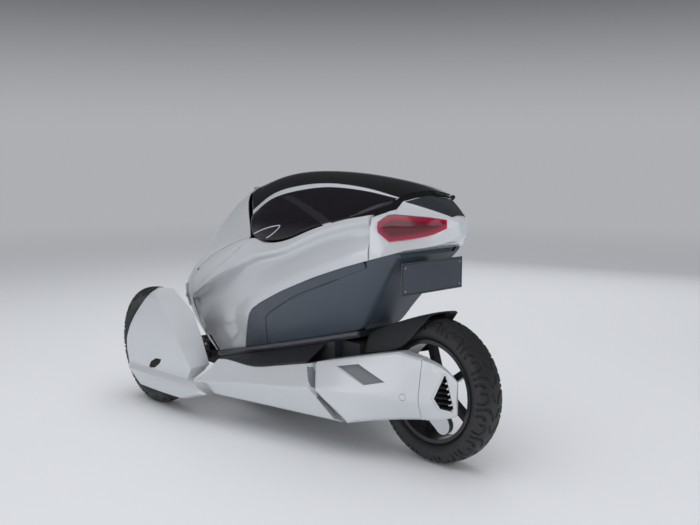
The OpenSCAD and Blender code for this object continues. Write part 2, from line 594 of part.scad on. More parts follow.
// Front suspension arms with the steering pins, left and right
arm_low_z = front_r - 117;
arm_high_z = front_r + 41;
bush_d = 34;
bush_l = 18;
arm_boss_d = 46;
arm_boss_h = 26;
pin_l = 30;
arm_spread = 46;
module front_arm(z, inner_z, up) {
  k = [wheelbase, kingpin_y, z];
  for (s = [-1, 1]) {
    foot = [wheelbase + s * arm_spread / 2 + 18, subframe_w / 2 + seat_gap, inner_z];
    across(foot[0], foot[2], foot[1], foot[1] + bush_l, bush_d);
    rod(foot + [0, bush_l / 2, 0], k + [0, -8, 0], arm_tube_d);
  }
  translate(k - [0, 0, arm_boss_h / 2]) cylinder(d = arm_boss_d, h = arm_boss_h);
  translate(k + [0, 0, up > 0 ? 0 : -pin_l - arm_boss_h / 2])
    cylinder(d = kingpin_d, h = pin_l + arm_boss_h / 2);
}
module front_arms() color("dimgray") both() {
  front_arm(arm_low_z, belly_z + subframe_h / 2, 1);
  front_arm(arm_high_z, tower_top - arm_tube_d, -1);
}

// Upright that turns on the two pins and carries the stub axle
upright_d = 52;
knuckle_gap = 2;
upright_drop = 6;
axle_tip = front_track / 2 + 87;
module knuckle() difference() {
  union() {
    translate([wheelbase, kingpin_y, arm_low_z + arm_boss_h / 2 + knuckle_gap])
      cylinder(d = upright_d, h = arm_high_z - arm_low_z - arm_boss_h - 2 * knuckle_gap - upright_drop);
    across(wheelbase, front_r, kingpin_y, axle_tip - seat_gap, axle_d);
    across(wheelbase, front_r, kingpin_y, front_track / 2 - 34, axle_d * 1.7);
  }
  translate([wheelbase, kingpin_y, arm_low_z])
    cylinder(d = kingpin_d + 2 * running_fit, h = arm_boss_h / 2 + pin_l + 1);
  translate([wheelbase, kingpin_y, arm_high_z - arm_boss_h / 2 - pin_l - 1])
    cylinder(d = kingpin_d + 2 * running_fit, h = arm_boss_h / 2 + pin_l + 1);
}
module knuckle_left() color("dimgray") knuckle();
module knuckle_right() color("dimgray") right() knuckle();

// Wheel fairing from the wheel's centre: height, front x, front y, crease x, crease y, rear x, rear y
fairing_lines = [
  [-223,   75,  78, -295,  70, -325,  62],
  [-167,  135,  92, -475,  70, -513,  52],
  [-141,  157, 102, -445,  82, -460,  64],
  [-108,  175,  85, -380,  72, -393,  55],
  [ -78,  187,  86, -417,  84, -393, -20],
  [ -43,  195,  87, -436,  88, -415, -38],
  [  22,  190,  89, -383,  91, -398, -30],
  [  97,  148,  89, -320,  91, -372, -24],
  [ 157,  101,  86, -255,  89, -343, -18],
  [ 217,   46,  79, -177,  86, -310, -13],
  [ 277,  -20,  73, -112,  77, -235,   0],
  [ 303,  -46,  57, -108,  60, -198,   7],
  [ 325,  -72,  30, -105,  32, -165,  10]];
fairing_dome = 5;
function fairing_row(r) =
  concat([for (t = steps(0, 1, 6)) [mix(r[1], r[3], t), mix(r[2], r[4], t) + fairing_dome * 4 * t * (1 - t), r[0]]],
    [for (t = [0.33, 0.67, 1]) [mix(r[3], r[5], t), mix(r[4], r[6], t), r[0]]]);
fairing_zs = [-223, -195, -167, -141, -108, -78, -43, -10, 22, 60, 97, 127, 157, 187, 217, 247, 277, 303, 325];
module fairing() {
  g = [for (z = fairing_zs) fairing_row([for (c = [0:6]) straight(fairing_lines, c, z) * (c == 0 || c % 2 == 1 ? kf : 1)])];
  translate([wheelbase, front_track / 2, front_r])
    difference() {
      skin(g, pushed(g, shell_t));
      across(0, 0, 60, axle_tip - front_track / 2, axle_d + 2 * seat_gap);
    }
}
module fairing_left() color("whitesmoke") fairing();
module fairing_right() color("whitesmoke") right() fairing();

// Tyre section from the bead out: share of half width, share of height over the bead
bead_w = 0.62;
tyre_side = [[bead_w, 0], [bead_w, 0.12], [0.92, 0.3], [1, 0.5], [0.97, 0.66], [0.86, 0.82],
  [0.66, 0.92], [0.4, 0.98], [0.14, 1]];
module tyre(d, w) {
  bead = d / 2 * bead_share;
  h = d / 2 - bead;
  side = [for (p = tyre_side) [bead + h * p[1], w / 2 * p[0]]];
  rotate([90, 0, 0]) rotate_extrude($fn = 96)
    polygon(concat(side, [for (i = [len(side) - 1:-1:0]) [side[i][0], -side[i][1]]]));
}
rim_lip = 10;
module rim(d, w, hub, web) {
  seat = d / 2 * bead_share - seat_gap;
  lip_y = w / 2 * bead_w + seat_gap;
  difference() {
    union() {
      rotate([90, 0, 0]) rotate_extrude($fn = 96)
        polygon([[seat, 0], [seat, lip_y], [seat + rim_lip, lip_y], [seat + rim_lip, lip_y + barrel_t],
          [seat - barrel_t, lip_y + barrel_t], [seat - barrel_t, -lip_y - barrel_t],
          [seat + rim_lip, -lip_y - barrel_t], [seat + rim_lip, -lip_y], [seat, -lip_y]]);
      across(0, 0, hub[0], hub[1], hub_d);
      for (i = [0:spokes - 1])
        rotate([0, i * 360 / spokes, 0])
          translate([hub_d / 2 - 6, web[0], -hub_d / 5])
            cube([seat - barrel_t - hub_d / 2 + 8, web[1] - web[0], hub_d / 2.5]);
    }
    across(0, 0, hub[0] - 1, hub[1] + 1, axle_d + 2 * running_fit);
  }
}
front_hub = [-30, 44];
module at_front() translate([wheelbase, front_track / 2, front_r]) children();
module front_tyre_left() color("black") at_front() tyre(front_tyre_d, front_tyre_w);
module front_tyre_right() color("black") right() at_front() tyre(front_tyre_d, front_tyre_w);
module front_rim_left() color("black") at_front() rim(front_tyre_d, front_tyre_w, front_hub, [6, 34]);
module front_rim_right() color("black") right() at_front() rim(front_tyre_d, front_tyre_w, front_hub, [6, 34]);
module rear_tyre() color("black") translate([0, 0, rear_r]) tyre(rear_tyre_d, rear_tyre_w);
module rear_rim() color("black") translate([0, 0, rear_r]) rim(rear_tyre_d, rear_tyre_w, rear_hub, [-44, -8]);

// Seat: a hard shell with a cushion, a back and a headrest
seat_w = 290;
seat_back_w = 330;
module slab(w, p) translate([0, w / 2, 0]) rotate([90, 0, 0]) linear_extrude(w) polygon(p);
function seat_x(z) = kx * (560 - (z / kz - 470) * 0.4);
seat_t = 26;
cushion_top = 628 * kz;
cushion_z = 560 * kz;
shell_top = 900 * kz;
lumbar_z = 700 * kz;
module seat_shell() color("dimgray") {
  slab(seat_w, [for (x = [620, 877, 880]) [x * kx, floor_z(x * kx) + seat_gap], [880 * kx, cushion_z],
    [seat_x(cushion_z), cushion_z], [seat_x(shell_top), shell_top], [seat_x(shell_top) - seat_t, shell_top],
    [seat_x(cushion_z) - seat_t, cushion_z - seat_t], [620 * kx, cushion_z - seat_t]]);
}
module seat_cushion() color("darkslategray")
  slab(seat_w, [[seat_x(cushion_z) + 70, cushion_z + shut_gap], [884 * kx, cushion_z + shut_gap],
    [892 * kx, cushion_z + 40], [870 * kx, cushion_top], [seat_x(cushion_z) + 76, cushion_top - 26]]);
module seat_back() color("darkslategray")
  slab(seat_back_w, [for (z = [cushion_z + 4, shell_top]) [seat_x(z) + shut_gap, z],
    [seat_x(shell_top) + 50, shell_top + 10], [seat_x(lumbar_z) + 74, lumbar_z], [seat_x(cushion_z) + 62, cushion_z + 8]]);
head_w = 210;
module headrest() color("firebrick")
  slab(head_w, [[seat_x(shell_top) - seat_t, shell_top + shut_gap], [seat_x(shell_top) + 8, shell_top + 4],
    [seat_x(shell_top) + 44, shell_top + 18], [seat_x(shell_top) + 6, shell_top + 158],
    [seat_x(shell_top) - 60, shell_top + 150]]);

// Dash with the column that carries the handlebar
column_top = [1010 * kx, 0, 860 * kz];
column_foot = [1226 * kx, 0, 360 * kz];
dash_top = 560 * kz;
column_dir = unit(column_top - column_foot);
dash_w = 200;
module dash() color("dimgray") {
  difference() {
    union() {
      rod(column_foot, column_top, column_d + 26);
      slab(dash_w, [[1216 * kx, floor_z(1216 * kx) + seat_gap], [1256 * kx, floor_z(1256 * kx) + seat_gap],
        [1200 * kx, dash_top], [1110 * kx, dash_top]]);
    }
    rod(column_top - 120 * column_dir, column_top + 2 * column_dir, column_d + 2 * running_fit);
    translate([column_foot[0] - 300, -200, 0]) cube([600, 400, floor_z(1216 * kx) - 12]);
  }
}
bar_w = 380;
bar_d = 28;
module handlebar() color("black") {
  rod(column_top - 116 * column_dir, column_top + 40 * column_dir, column_d);
  across(column_top[0] + 40 * column_dir[0], column_top[2] + 40 * column_dir[2], -bar_w / 2, bar_w / 2, bar_d);
}

// Canopy by share from its front edge back: lower edge, rail and crown points
canopy_lines = [
  [0,   992, 266, 940, 1080, 200, 1040, 1262, 1160],
  [0.2, 876, 288, 925,  900, 210, 1136, 1010, 1230],
  [0.4, 690, 303, 947,  718, 215, 1184,  790, 1258],
  [0.6, 470, 301, 1020, 491, 212, 1210,  530, 1257],
  [0.8, 262, 282, 1072, 262, 201, 1199,  285, 1230],
  [1,    92, 196, 1134,  86, 172, 1164,   94, 1187]];
function canopy(c, s) = smooth(canopy_lines, c, s);
// Section of the canopy: 0 at the lower edge, 1 on the rail, 2 at the crown
function canopy_at(s, u) =
  let (a = to_body([canopy(1, s), canopy(2, s), canopy(3, s)]),
    r = to_body([canopy(4, s), canopy(5, s), canopy(6, s)]),
    c = to_body([canopy(7, s), 0, canopy(8, s)]))
  (u <= 1 ? mix(a, r, u) + [0, 14, 4] * 4 * u * (1 - u)
  : let (k = 2 - u) [mix(c[0], r[0], k * k), r[1] * k, mix(c[2], r[2], k * k)])
  + lid_gap * [-1, 0, 0] * max(0, 1 - 6 * s) + [0, 0, lid_gap * 1.3] * max(0, 1 - u);
canopy_core = to_body([600, 0, 820]);
rail_low = 0.93;
rail_high = 1.05;
rail_t = 15;
rail_out = 3;
glass_edge = 0.0035;
canopy_s = steps(0.012, 1, 18);
module roof_glass() color([0.05, 0.05, 0.06]) {
  us = [for (u = steps(rail_high + glass_edge, 2, 6)) u];
  g = [for (s = canopy_s) let (l = [for (u = us) canopy_at(s, u)])
    concat(l, [for (i = [len(l) - 2:-1:0]) [l[i][0], -l[i][1], l[i][2]]])];
  skin(g, drawn_in(g, canopy_core, glass_t));
}
module side_glass() color([0.05, 0.05, 0.06]) both() {
  g = [for (s = canopy_s) [for (u = steps(0, rail_low - glass_edge, 5)) canopy_at(s, u)]];
  skin(g, drawn_in(g, canopy_core, glass_t));
}
module canopy_rails() color("whitesmoke") both() {
  g = [for (s = canopy_s) let (m = canopy_at(s, 1))
    [canopy_at(s, rail_low), m - rail_out * unit(canopy_core - m), canopy_at(s, rail_high)]];
  skin(g, drawn_in(g, canopy_core, rail_t));
}

// Hinge at the top of the hood
hinge = to_body(brow[1]) + [lid_gap / 2, 0, -1];
hinge_l = 96;
barrel_d = hinge_pin_d + 8;
leaf_t = 5;
leaf_l = 46;
lug_h = 25;
leaf_slope = 16;
leaf_drop = 8.2;
leaf_w = hinge_l / 2 - 6;
// The fixed leaf lies along the underside of the hood's first facets
leaf_rows = [hood_rows[0] / 2, hood_rows[0], hood_rows[1]];
leaf_angles = [for (i = [-1:1]) hood_angles[(len(hood_angles) - 1) / 2 + i]];
function leaf(inset) = [for (v = leaf_rows) [for (a = leaf_angles) hood_at(a, v, shell_t + inset)]];
module hinge_bracket() color("dimgray") {
  across(hinge[0], hinge[2], -hinge_l / 2, hinge_l / 2, hinge_pin_d);
  skin(leaf(2 * seat_gap), leaf(2 * seat_gap + leaf_t));
  both()
    difference() {
      union() {
        across(hinge[0], hinge[2], hinge_l / 4, hinge_l / 2, barrel_d);
        translate([hinge[0] - barrel_d / 2, hinge_l / 4 + 2, hinge[2] - lug_h])
          cube([barrel_d / 2, hinge_l / 8, lug_h - leaf_t / 2]);
      }
      across(hinge[0], hinge[2], 0, hinge_l, hinge_pin_d);
    }
}
module canopy_hinge() color("dimgray")
  difference() {
    union() {
      across(hinge[0], hinge[2], -hinge_l / 4 + 0.5, hinge_l / 4 - 0.5, barrel_d);
      translate([hinge[0], 0, hinge[2]]) rotate([0, leaf_slope, 0])
        translate([-leaf_l, -leaf_w / 2, -leaf_drop - leaf_t]) cube([leaf_l, leaf_w, leaf_t]);
    }
    across(hinge[0], hinge[2], -hinge_l, hinge_l, hinge_pin_d + 2 * running_fit);
  }

module placed() translate([rear_axle_x, 0, 0]) children();

placed() floor_pan();
placed() battery_pack();
placed() front_subframe();
placed() arm_pivot();
placed() rear_bulkhead();
placed() side_wall_left();
placed() side_wall_right();
placed() waist_strips();
placed() lower_panels();
placed() sill_rails();
placed() nose_cowl();
placed() hood();
placed() headlamps();
placed() tail_cowl();
placed() tail_deck();
placed() tail_lamps();
placed() plate_bracket();
placed() number_plate();
placed() pod_left();
placed() pod_right();
placed() pod_inserts();
placed() swing_arm();
placed() arm_cap();
placed() arm_grille();
placed() drive_housing();
placed() rear_axle();
placed() rear_fender();
placed() front_arms();
placed() seat_shell();
placed() seat_cushion();
placed() seat_back();
placed() headrest();
placed() dash();
placed() hinge_bracket();
placed() canopy_hinge();
placed() roof_glass();
placed() side_glass();
placed() canopy_rails();
placed() handlebar();
placed() knuckle_left();
placed() knuckle_right();
placed() fairing_left();
placed() fairing_right();
placed() front_rim_left();
placed() front_rim_right();
placed() front_tyre_left();
placed() front_tyre_right();
placed() rear_rim();
placed() rear_tyre();
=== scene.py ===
# %% [markdown]
# # Dressing a three-wheeled electric car
# The solid model already holds every piece of the car at its real size and place: panels, glass,
# wheels, seat and steering. This lesson gives those pieces their looks. Pressed panels are made
# smooth, tyres get their tread, the seat is padded, and every surface gets a finish that has grain,
# gloss and small variations, as the real one has.

import json
import math

import bmesh
import bpy
import numpy as np
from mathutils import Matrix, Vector
from mathutils.bvhtree import BVHTree


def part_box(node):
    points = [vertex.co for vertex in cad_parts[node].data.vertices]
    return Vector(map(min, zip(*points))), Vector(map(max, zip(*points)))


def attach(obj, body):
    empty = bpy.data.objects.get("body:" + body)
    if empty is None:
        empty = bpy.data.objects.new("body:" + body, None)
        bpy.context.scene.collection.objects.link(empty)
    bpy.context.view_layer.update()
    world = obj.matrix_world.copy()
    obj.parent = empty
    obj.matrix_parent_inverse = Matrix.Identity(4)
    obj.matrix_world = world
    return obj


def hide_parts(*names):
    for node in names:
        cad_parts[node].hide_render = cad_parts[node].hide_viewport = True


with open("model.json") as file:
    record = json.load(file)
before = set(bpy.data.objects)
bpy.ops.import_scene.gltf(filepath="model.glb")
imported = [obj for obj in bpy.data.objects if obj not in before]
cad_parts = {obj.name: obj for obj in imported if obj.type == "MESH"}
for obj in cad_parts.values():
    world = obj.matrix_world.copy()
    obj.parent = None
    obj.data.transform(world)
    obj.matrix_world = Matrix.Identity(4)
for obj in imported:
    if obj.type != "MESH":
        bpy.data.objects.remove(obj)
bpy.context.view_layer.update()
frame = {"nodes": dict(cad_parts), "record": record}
scene = bpy.context.scene
nodes = frame["nodes"]
print("pieces in the model:", len(nodes))

# %% [markdown]
# ## Small helpers
# Most pieces are made in the same few steps: points and faces become a mesh in a finish, modifiers are
# turned into plain geometry, faces are made to point outward, and edges are shaded. These steps are
# written once here and used all through the lesson, and so are three that fill a node tree.

# %% Steps that every piece shares
FINISH = {}


def stand(name, data):
    """A new object in the scene that shows the given data."""
    piece = bpy.data.objects.new(name, data)
    scene.collection.objects.link(piece)
    return piece


def drawn(name, points, faces, material=None, edges=()):
    """A new mesh object from points and faces, in a finish."""
    mesh = bpy.data.meshes.new(name)
    mesh.from_pydata([tuple(p) for p in points], list(edges), faces)
    if material:
        mesh.materials.append(FINISH[material])
    return stand(name, mesh)


def meshed(name, work):
    """A new mesh from a mesh in work, which is then closed."""
    mesh = bpy.data.meshes.new(name)
    work.to_mesh(mesh)
    work.free()
    return mesh


def dress(piece, material):
    """Gives a piece one finish in place of all it had."""
    piece.data.materials.clear()
    piece.data.materials.append(FINISH[material])


def points_of(piece):
    """Places of all points of a piece, in rows."""
    return np.array([v.co for v in piece.data.vertices])


def settle(obj):
    """Turns an object with modifiers into a plain mesh object."""
    seen = obj.evaluated_get(bpy.context.evaluated_depsgraph_get())
    mesh = bpy.data.meshes.new_from_object(seen)
    obj.modifiers.clear()
    old = obj.data
    obj.data = mesh
    bpy.data.meshes.remove(old)
    return obj


def outward(piece):
    """Makes all faces of a closed mesh point outward."""
    work = bmesh.new()
    work.from_mesh(piece.data)
    bmesh.ops.recalc_face_normals(work, faces=work.faces[:])
    work.to_mesh(piece.data)
    work.free()


def shade(piece, sharp):
    """Smooth shading, broken at edges sharper than the given angle."""
    piece.data.shade_smooth()
    piece.data.set_sharp_from_angle(angle=math.radians(sharp))


def bevel_edges(piece, width, sharp):
    """Adds a narrow bevel on edges sharper than the given angle."""
    edges = piece.modifiers.new("edges", "BEVEL")
    edges.width = width
    edges.segments = 2
    edges.limit_method = "ANGLE"
    edges.angle_limit = math.radians(sharp)


def round_off(piece, levels):
    """Adds a subdivision surface."""
    rounding = piece.modifiers.new("rounding", "SUBSURF")
    rounding.levels = rounding.render_levels = levels


def thicken(piece, thickness):
    """Makes a closed sheet of an open one."""
    shell = piece.modifiers.new("thickness", "SOLIDIFY")
    shell.thickness = thickness
    shell.offset = 0
    settle(piece)
    outward(piece)
    shade(piece, 35)


def fit(piece, body):
    """Lets an added piece ride on a body."""
    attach(piece, body)
    return piece


def give(tree, node, inputs):
    """Links an input that is given another node's socket, and sets one that is given a value."""
    for key, value in inputs.items():
        if isinstance(value, bpy.types.NodeSocket):
            tree.links.new(value, node.inputs[key])
        else:
            node.inputs[key].default_value = value


def put(tree, kind, inputs=None, **settings):
    """Adds a node with its settings and inputs, and returns its outputs."""
    node = tree.nodes.new(kind)
    for label, value in settings.items():
        setattr(node, label, value)
    give(tree, node, inputs or {})
    return node.outputs


def colour_ramp(tree, value, stops, way="LINEAR"):
    """A colour that runs through stops of (place, colour) as a value rises."""
    ramp = tree.nodes.new("ShaderNodeValToRGB")
    ramp.color_ramp.interpolation = way
    for stop, (place, colour) in zip(ramp.color_ramp.elements, stops):
        stop.position, stop.color = place, colour
    tree.links.new(value, ramp.inputs["Fac"])
    return ramp.outputs["Color"]


print("helpers are ready")

# %% [markdown]
# ## The camera
# The car is seen from behind and from its left, a little above the waist. The camera's place, its
# turn and its focal length were worked out from the outlines of the tyres, so the render can be
# laid over the reference and compared line by line.

# %% Place the camera
EYE = Vector((-3.469, 2.983, 1.414))
YAW_DEG = 42.847
DIP_DEG = 7.622
SENSOR_MM = 36.0
IMAGE_W = 700
FOCAL_PX = 927.0


def look_direction(yaw_deg, dip_deg):
    """Unit vector of a camera that looks forward along X, turned to the right and tipped down."""
    yaw = math.radians(yaw_deg)
    dip = math.radians(dip_deg)
    return Vector((math.cos(yaw) * math.cos(dip), -math.sin(yaw) * math.cos(dip), -math.sin(dip)))


camera = stand("camera", bpy.data.cameras.new("camera"))
camera.location = EYE
camera.rotation_euler = look_direction(YAW_DEG, DIP_DEG).to_track_quat("-Z", "Y").to_euler()
camera.data.sensor_width = SENSOR_MM
camera.data.lens = FOCAL_PX * SENSOR_MM / IMAGE_W
scene.camera = camera
print("focal length in mm:", round(camera.data.lens, 1))

# %% [markdown]
# ## The studio
# White paint shows its shape only by what it reflects. A wide soft lamp hangs over the car and three
# weaker ones stand round it; all but the left one are kept out of mirror images, because their hard
# outlines would cut the dark roof in two. The floor is a plain pale sheet that fades, far from the
# car, into the colour of the backdrop, so no horizon cuts the picture. Only rays that look, mirror or
# pass through glass meet the backdrop's grey; the light that falls on the car is not changed by it.

# %% Build the floor, the lamps and the surroundings
FLOOR_RADIUS = 14.0
FLOOR_SIDES = 96
FLOOR_GREY = (0.80, 0.81, 0.83, 1.0)
FAR_GREY = (0.42, 0.43, 0.45, 1.0)
TOP_GREY = (0.05, 0.052, 0.057, 1.0)
FADE_FROM, FADE_TO = 3.5, 12.0
FLOOR_ROUGH, FLOOR_SHINE = 0.6, 0.25
DARKEST_AT = 0.22
WORLD_LIGHT = 0.42
WORLD_TINT = (0.92, 0.95, 1.0, 1)
# Name, place, target, size, watts, and whether mirror images show it
LAMPS = [
    ("ceiling", (0.2, 0.4, 4.6), (0, 0, 0.6), (9.0, 6.0), 180, False),
    ("left_wall", (-1.2, 6.0, 1.9), (0, 0, 0.5), (7.0, 2.6), 60, True),
    ("rear_wall", (-6.0, -0.2, 2.4), (0, 0, 0.7), (4.0, 2.4), 40, False),
    ("right_wall", (1.8, -5.4, 2.2), (0, 0, 0.6), (6.0, 2.4), 46, False),
]


def area_lamp(name, place, target, size, watts, mirrored):
    """A rectangular soft lamp that faces a target point."""
    lamp = bpy.data.lights.new(name, "AREA")
    lamp.shape = "RECTANGLE"
    lamp.size, lamp.size_y = size
    lamp.energy = watts
    holder = stand(name, lamp)
    holder.location = place
    holder.rotation_euler = (Vector(target) - Vector(place)).to_track_quat("-Z", "Y").to_euler()
    holder.visible_glossy = mirrored


def looking_rays(tree):
    """1 for rays that look at, mirror or pass through to the backdrop, 0 for rays that carry light."""
    path = put(tree, "ShaderNodeLightPath")
    total = path["Is Camera Ray"]
    for kind in ("Is Glossy Ray", "Is Transmission Ray"):
        total = put(tree, "ShaderNodeMath", {0: total, 1: path[kind]}, operation="MAXIMUM")[0]
    return total


def studio_floor():
    """A round pale sheet under the wheels, marked as stage."""
    rim = [(FLOOR_RADIUS * math.cos(2 * math.pi * i / FLOOR_SIDES),
            FLOOR_RADIUS * math.sin(2 * math.pi * i / FLOOR_SIDES), 0) for i in range(FLOOR_SIDES)]
    floor = drawn("floor", rim, [tuple(range(FLOOR_SIDES))])
    sheet = bpy.data.materials.new("floor_sheet")
    sheet.use_nodes = True
    tree = sheet.node_tree
    shader = tree.nodes["Principled BSDF"]
    give(tree, shader, {"Base Color": FLOOR_GREY, "Roughness": FLOOR_ROUGH, "Specular IOR Level": FLOOR_SHINE})
    place = put(tree, "ShaderNodeTexCoord")
    reach = put(tree, "ShaderNodeVectorMath", {0: place["Object"]}, operation="LENGTH")
    fade = put(tree, "ShaderNodeMapRange", {"Value": reach["Value"], "From Min": FADE_FROM, "From Max": FADE_TO},
               interpolation_type="SMOOTHSTEP")
    far = put(tree, "ShaderNodeMath", {0: fade["Result"], 1: looking_rays(tree)}, operation="MULTIPLY")
    glow = put(tree, "ShaderNodeEmission", {"Color": FAR_GREY})
    blend = put(tree, "ShaderNodeMixShader", {0: far[0], 1: shader.outputs[0], 2: glow[0]})
    give(tree, tree.nodes["Material Output"], {"Surface": blend[0]})
    floor.data.materials.append(sheet)


def studio_world():
    """Even pale light from all round, and a grey backdrop that darkens upward for looking rays."""
    world = bpy.data.worlds.new("studio")
    scene.world = world
    world.use_nodes = True
    tree = world.node_tree
    light = tree.nodes["Background"]
    give(tree, light, {"Color": WORLD_TINT, "Strength": WORLD_LIGHT})
    place = put(tree, "ShaderNodeTexCoord")
    split = put(tree, "ShaderNodeSeparateXYZ", {0: place["Generated"]})
    shades = colour_ramp(tree, split["Z"], [(0.0, FAR_GREY), (DARKEST_AT, TOP_GREY)], "EASE")
    back = put(tree, "ShaderNodeBackground", {"Color": shades})
    blend = put(tree, "ShaderNodeMixShader", {0: looking_rays(tree), 1: light.outputs[0], 2: back[0]})
    give(tree, tree.nodes["World Output"], {"Surface": blend[0]})


studio_floor()
studio_world()
for lamp in LAMPS:
    area_lamp(*lamp)
scene.view_settings.view_transform = "Standard"

# %% [markdown]
# ## Shared surface effects
# Two effects turn up on nearly every surface of the car. *Grain* is the fine texture of a moulded
# or sprayed surface. *Film* is the slow change of gloss over a hand's width, left by polishing and
# handling. Each is built once as a node group with named inputs, and every finish places it with
# its own values.

# %% Node groups for grain and film


def new_group(name, outputs, **inputs):
    """A shader node group with a place and floats as inputs, and floats as outputs."""
    tree = bpy.data.node_groups.new(name, "ShaderNodeTree")
    tree.interface.new_socket("Vector", in_out="INPUT", socket_type="NodeSocketVector")
    for label, value in inputs.items():
        tree.interface.new_socket(label, in_out="INPUT", socket_type="NodeSocketFloat").default_value = value
    for label in outputs:
        tree.interface.new_socket(label, in_out="OUTPUT", socket_type="NodeSocketFloat")
    return tree, tree.nodes.new("NodeGroupInput").outputs, tree.nodes.new("NodeGroupOutput")


def grain_group():
    """Fine noise for bump and for small changes of colour."""
    tree, given, out = new_group("grain", ["Height", "Mask"], Scale=400.0, Softness=0.5)
    where = {"Vector": given["Vector"], "Scale": given["Scale"]}
    noise = put(tree, "ShaderNodeTexNoise", {**where, "Detail": 3.0})
    cells = put(tree, "ShaderNodeTexVoronoi", where)
    blend = put(tree, "ShaderNodeMix", {"Factor": given["Softness"], "A": cells["Distance"], "B": noise["Fac"]})
    give(tree, out, {"Height": blend["Result"], "Mask": noise["Fac"]})
    return tree


def film_group():
    """Slow change over a hand's width."""
    tree, given, out = new_group("film", ["Value"], Scale=6.0, Low=0.3, High=0.5)
    noise = put(tree, "ShaderNodeTexNoise", {"Vector": given["Vector"], "Scale": given["Scale"], "Detail": 4.0})
    spread = put(tree, "ShaderNodeMapRange", {"Value": noise["Fac"], "From Min": 0.3, "From Max": 0.7,
                                              "To Min": given["Low"], "To Max": given["High"]})
    give(tree, out, {"Value": spread["Result"]})
    return tree


GRAIN = grain_group()
FILM = film_group()
print("shared groups:", GRAIN.name, FILM.name)

# %% [markdown]
# ## Finishes
# A finish is one row of values: two close colours that the grain mixes, the range of roughness that
# the film moves through, the grain's size and depth, and what the shader itself needs, such as a
# clear coat on paint or light passing through glass.

# %% One function that turns a row of values into a finish


def finish(name, colour, second, rough, grain, depth, film=5.0, softness=0.5, **shader_values):
    """A material from two colours, a range of roughness, a grain size and a bump depth."""
    material = bpy.data.materials.new(name)
    material.use_nodes = True
    tree = material.node_tree
    place = put(tree, "ShaderNodeTexCoord")["Object"]
    fine = put(tree, "ShaderNodeGroup", {"Vector": place, "Scale": grain, "Softness": softness}, node_tree=GRAIN)
    slow = put(tree, "ShaderNodeGroup", {"Vector": place, "Scale": film, "Low": rough[0], "High": rough[1]},
               node_tree=FILM)
    paint = put(tree, "ShaderNodeMix", {"Factor": fine["Mask"], "A": (*colour, 1), "B": (*second, 1)},
                data_type="RGBA")
    bump = put(tree, "ShaderNodeBump", {"Height": fine["Height"], "Strength": 1.0, "Distance": depth})
    named = {label.replace("_", " "): value for label, value in shader_values.items()}
    give(tree, tree.nodes["Principled BSDF"],
         {"Base Color": paint["Result"], "Roughness": slow["Value"], "Normal": bump["Normal"], **named})
    FINISH[name] = material


finish("white_paint", (0.64, 0.66, 0.69), (0.70, 0.72, 0.75), (0.34, 0.38), 900, 0.000001,
       film=1.5, Coat_Weight=0.7, Coat_Roughness=0.09, Metallic=0.22)
finish("slate_panel", (0.060, 0.075, 0.098), (0.080, 0.097, 0.122), (0.36, 0.5), 1400, 0.00006)
finish("dark_frame", (0.016, 0.017, 0.02), (0.03, 0.031, 0.034), (0.5, 0.65), 900, 0.0001)
finish("sill", (0.085, 0.082, 0.105), (0.11, 0.105, 0.13), (0.35, 0.48), 1200, 0.00005)
finish("black_trim", (0.006, 0.006, 0.007), (0.012, 0.012, 0.013), (0.1, 0.2), 700, 0.00001,
       Coat_Weight=0.6, Coat_Roughness=0.05)
finish("red_lens", (0.62, 0.01, 0.06), (0.62, 0.01, 0.06), (0.05, 0.1), 160, 0.00002,
       Coat_Weight=0.4, Coat_Roughness=0.04)
finish("lamp_lens", (0.75, 0.8, 0.85), (0.85, 0.9, 0.95), (0.05, 0.1), 200, 0.00002, Transmission_Weight=0.7)
finish("plate", (0.045, 0.055, 0.075), (0.058, 0.07, 0.09), (0.3, 0.42), 1500, 0.00004)
finish("steel", (0.36, 0.37, 0.39), (0.5, 0.51, 0.53), (0.28, 0.45), 1500, 0.00004, Metallic=1.0)
finish("hub_alloy", (0.6, 0.61, 0.63), (0.72, 0.73, 0.75), (0.3, 0.42), 1100, 0.00006, Metallic=1.0)
finish("battery_case", (0.02, 0.021, 0.024), (0.03, 0.032, 0.036), (0.5, 0.62), 800, 0.0001)
finish("rim_black", (0.010, 0.010, 0.012), (0.018, 0.018, 0.02), (0.25, 0.36), 1000, 0.00003, Coat_Weight=0.3)
finish("tyre", (0.016, 0.016, 0.018), (0.030, 0.030, 0.032), (0.42, 0.56), 700, 0.00012)
finish("seat_cover", (0.018, 0.016, 0.022), (0.036, 0.032, 0.042), (0.42, 0.56), 520, 0.0003, softness=0.25)
finish("head_cover", (0.20, 0.006, 0.016), (0.27, 0.012, 0.024), (0.4, 0.52), 520, 0.0003, softness=0.25)
finish("tinted_glass", (0.012, 0.010, 0.014), (0.016, 0.013, 0.018), (0.02, 0.05), 300, 0.0,
       Alpha=0.84, Coat_Weight=0.5, Coat_Roughness=0.02, Specular_IOR_Level=0.3)
finish("roof_tint", (0.006, 0.006, 0.007), (0.009, 0.009, 0.010), (0.02, 0.05), 300, 0.0,
       Alpha=0.97, Coat_Weight=0.3, Coat_Roughness=0.03, Specular_IOR_Level=0.3)
finish("deck_gloss", (0.020, 0.024, 0.030), (0.028, 0.033, 0.040), (0.08, 0.16), 700, 0.00001,
       Coat_Weight=1.0, Coat_Roughness=0.03)
finish("vent_grey", (0.16, 0.17, 0.18), (0.21, 0.22, 0.23), (0.4, 0.55), 900, 0.00005)
finish("lining", (0.010, 0.010, 0.012), (0.018, 0.018, 0.020), (0.7, 0.85), 600, 0.0002)
finish("thread", (0.30, 0.29, 0.31), (0.38, 0.37, 0.39), (0.6, 0.7), 1500, 0.00005)
# Near-black: painted shade on the cut faces of the cap's deep opening and of the fairing notches, and the own
# dark colour of the panel seam.
finish("painted_shade_and_seam_black", (0.006, 0.006, 0.007), (0.010, 0.010, 0.011), (0.6, 0.75), 900, 0.00004)
print("finishes:", len(FINISH))

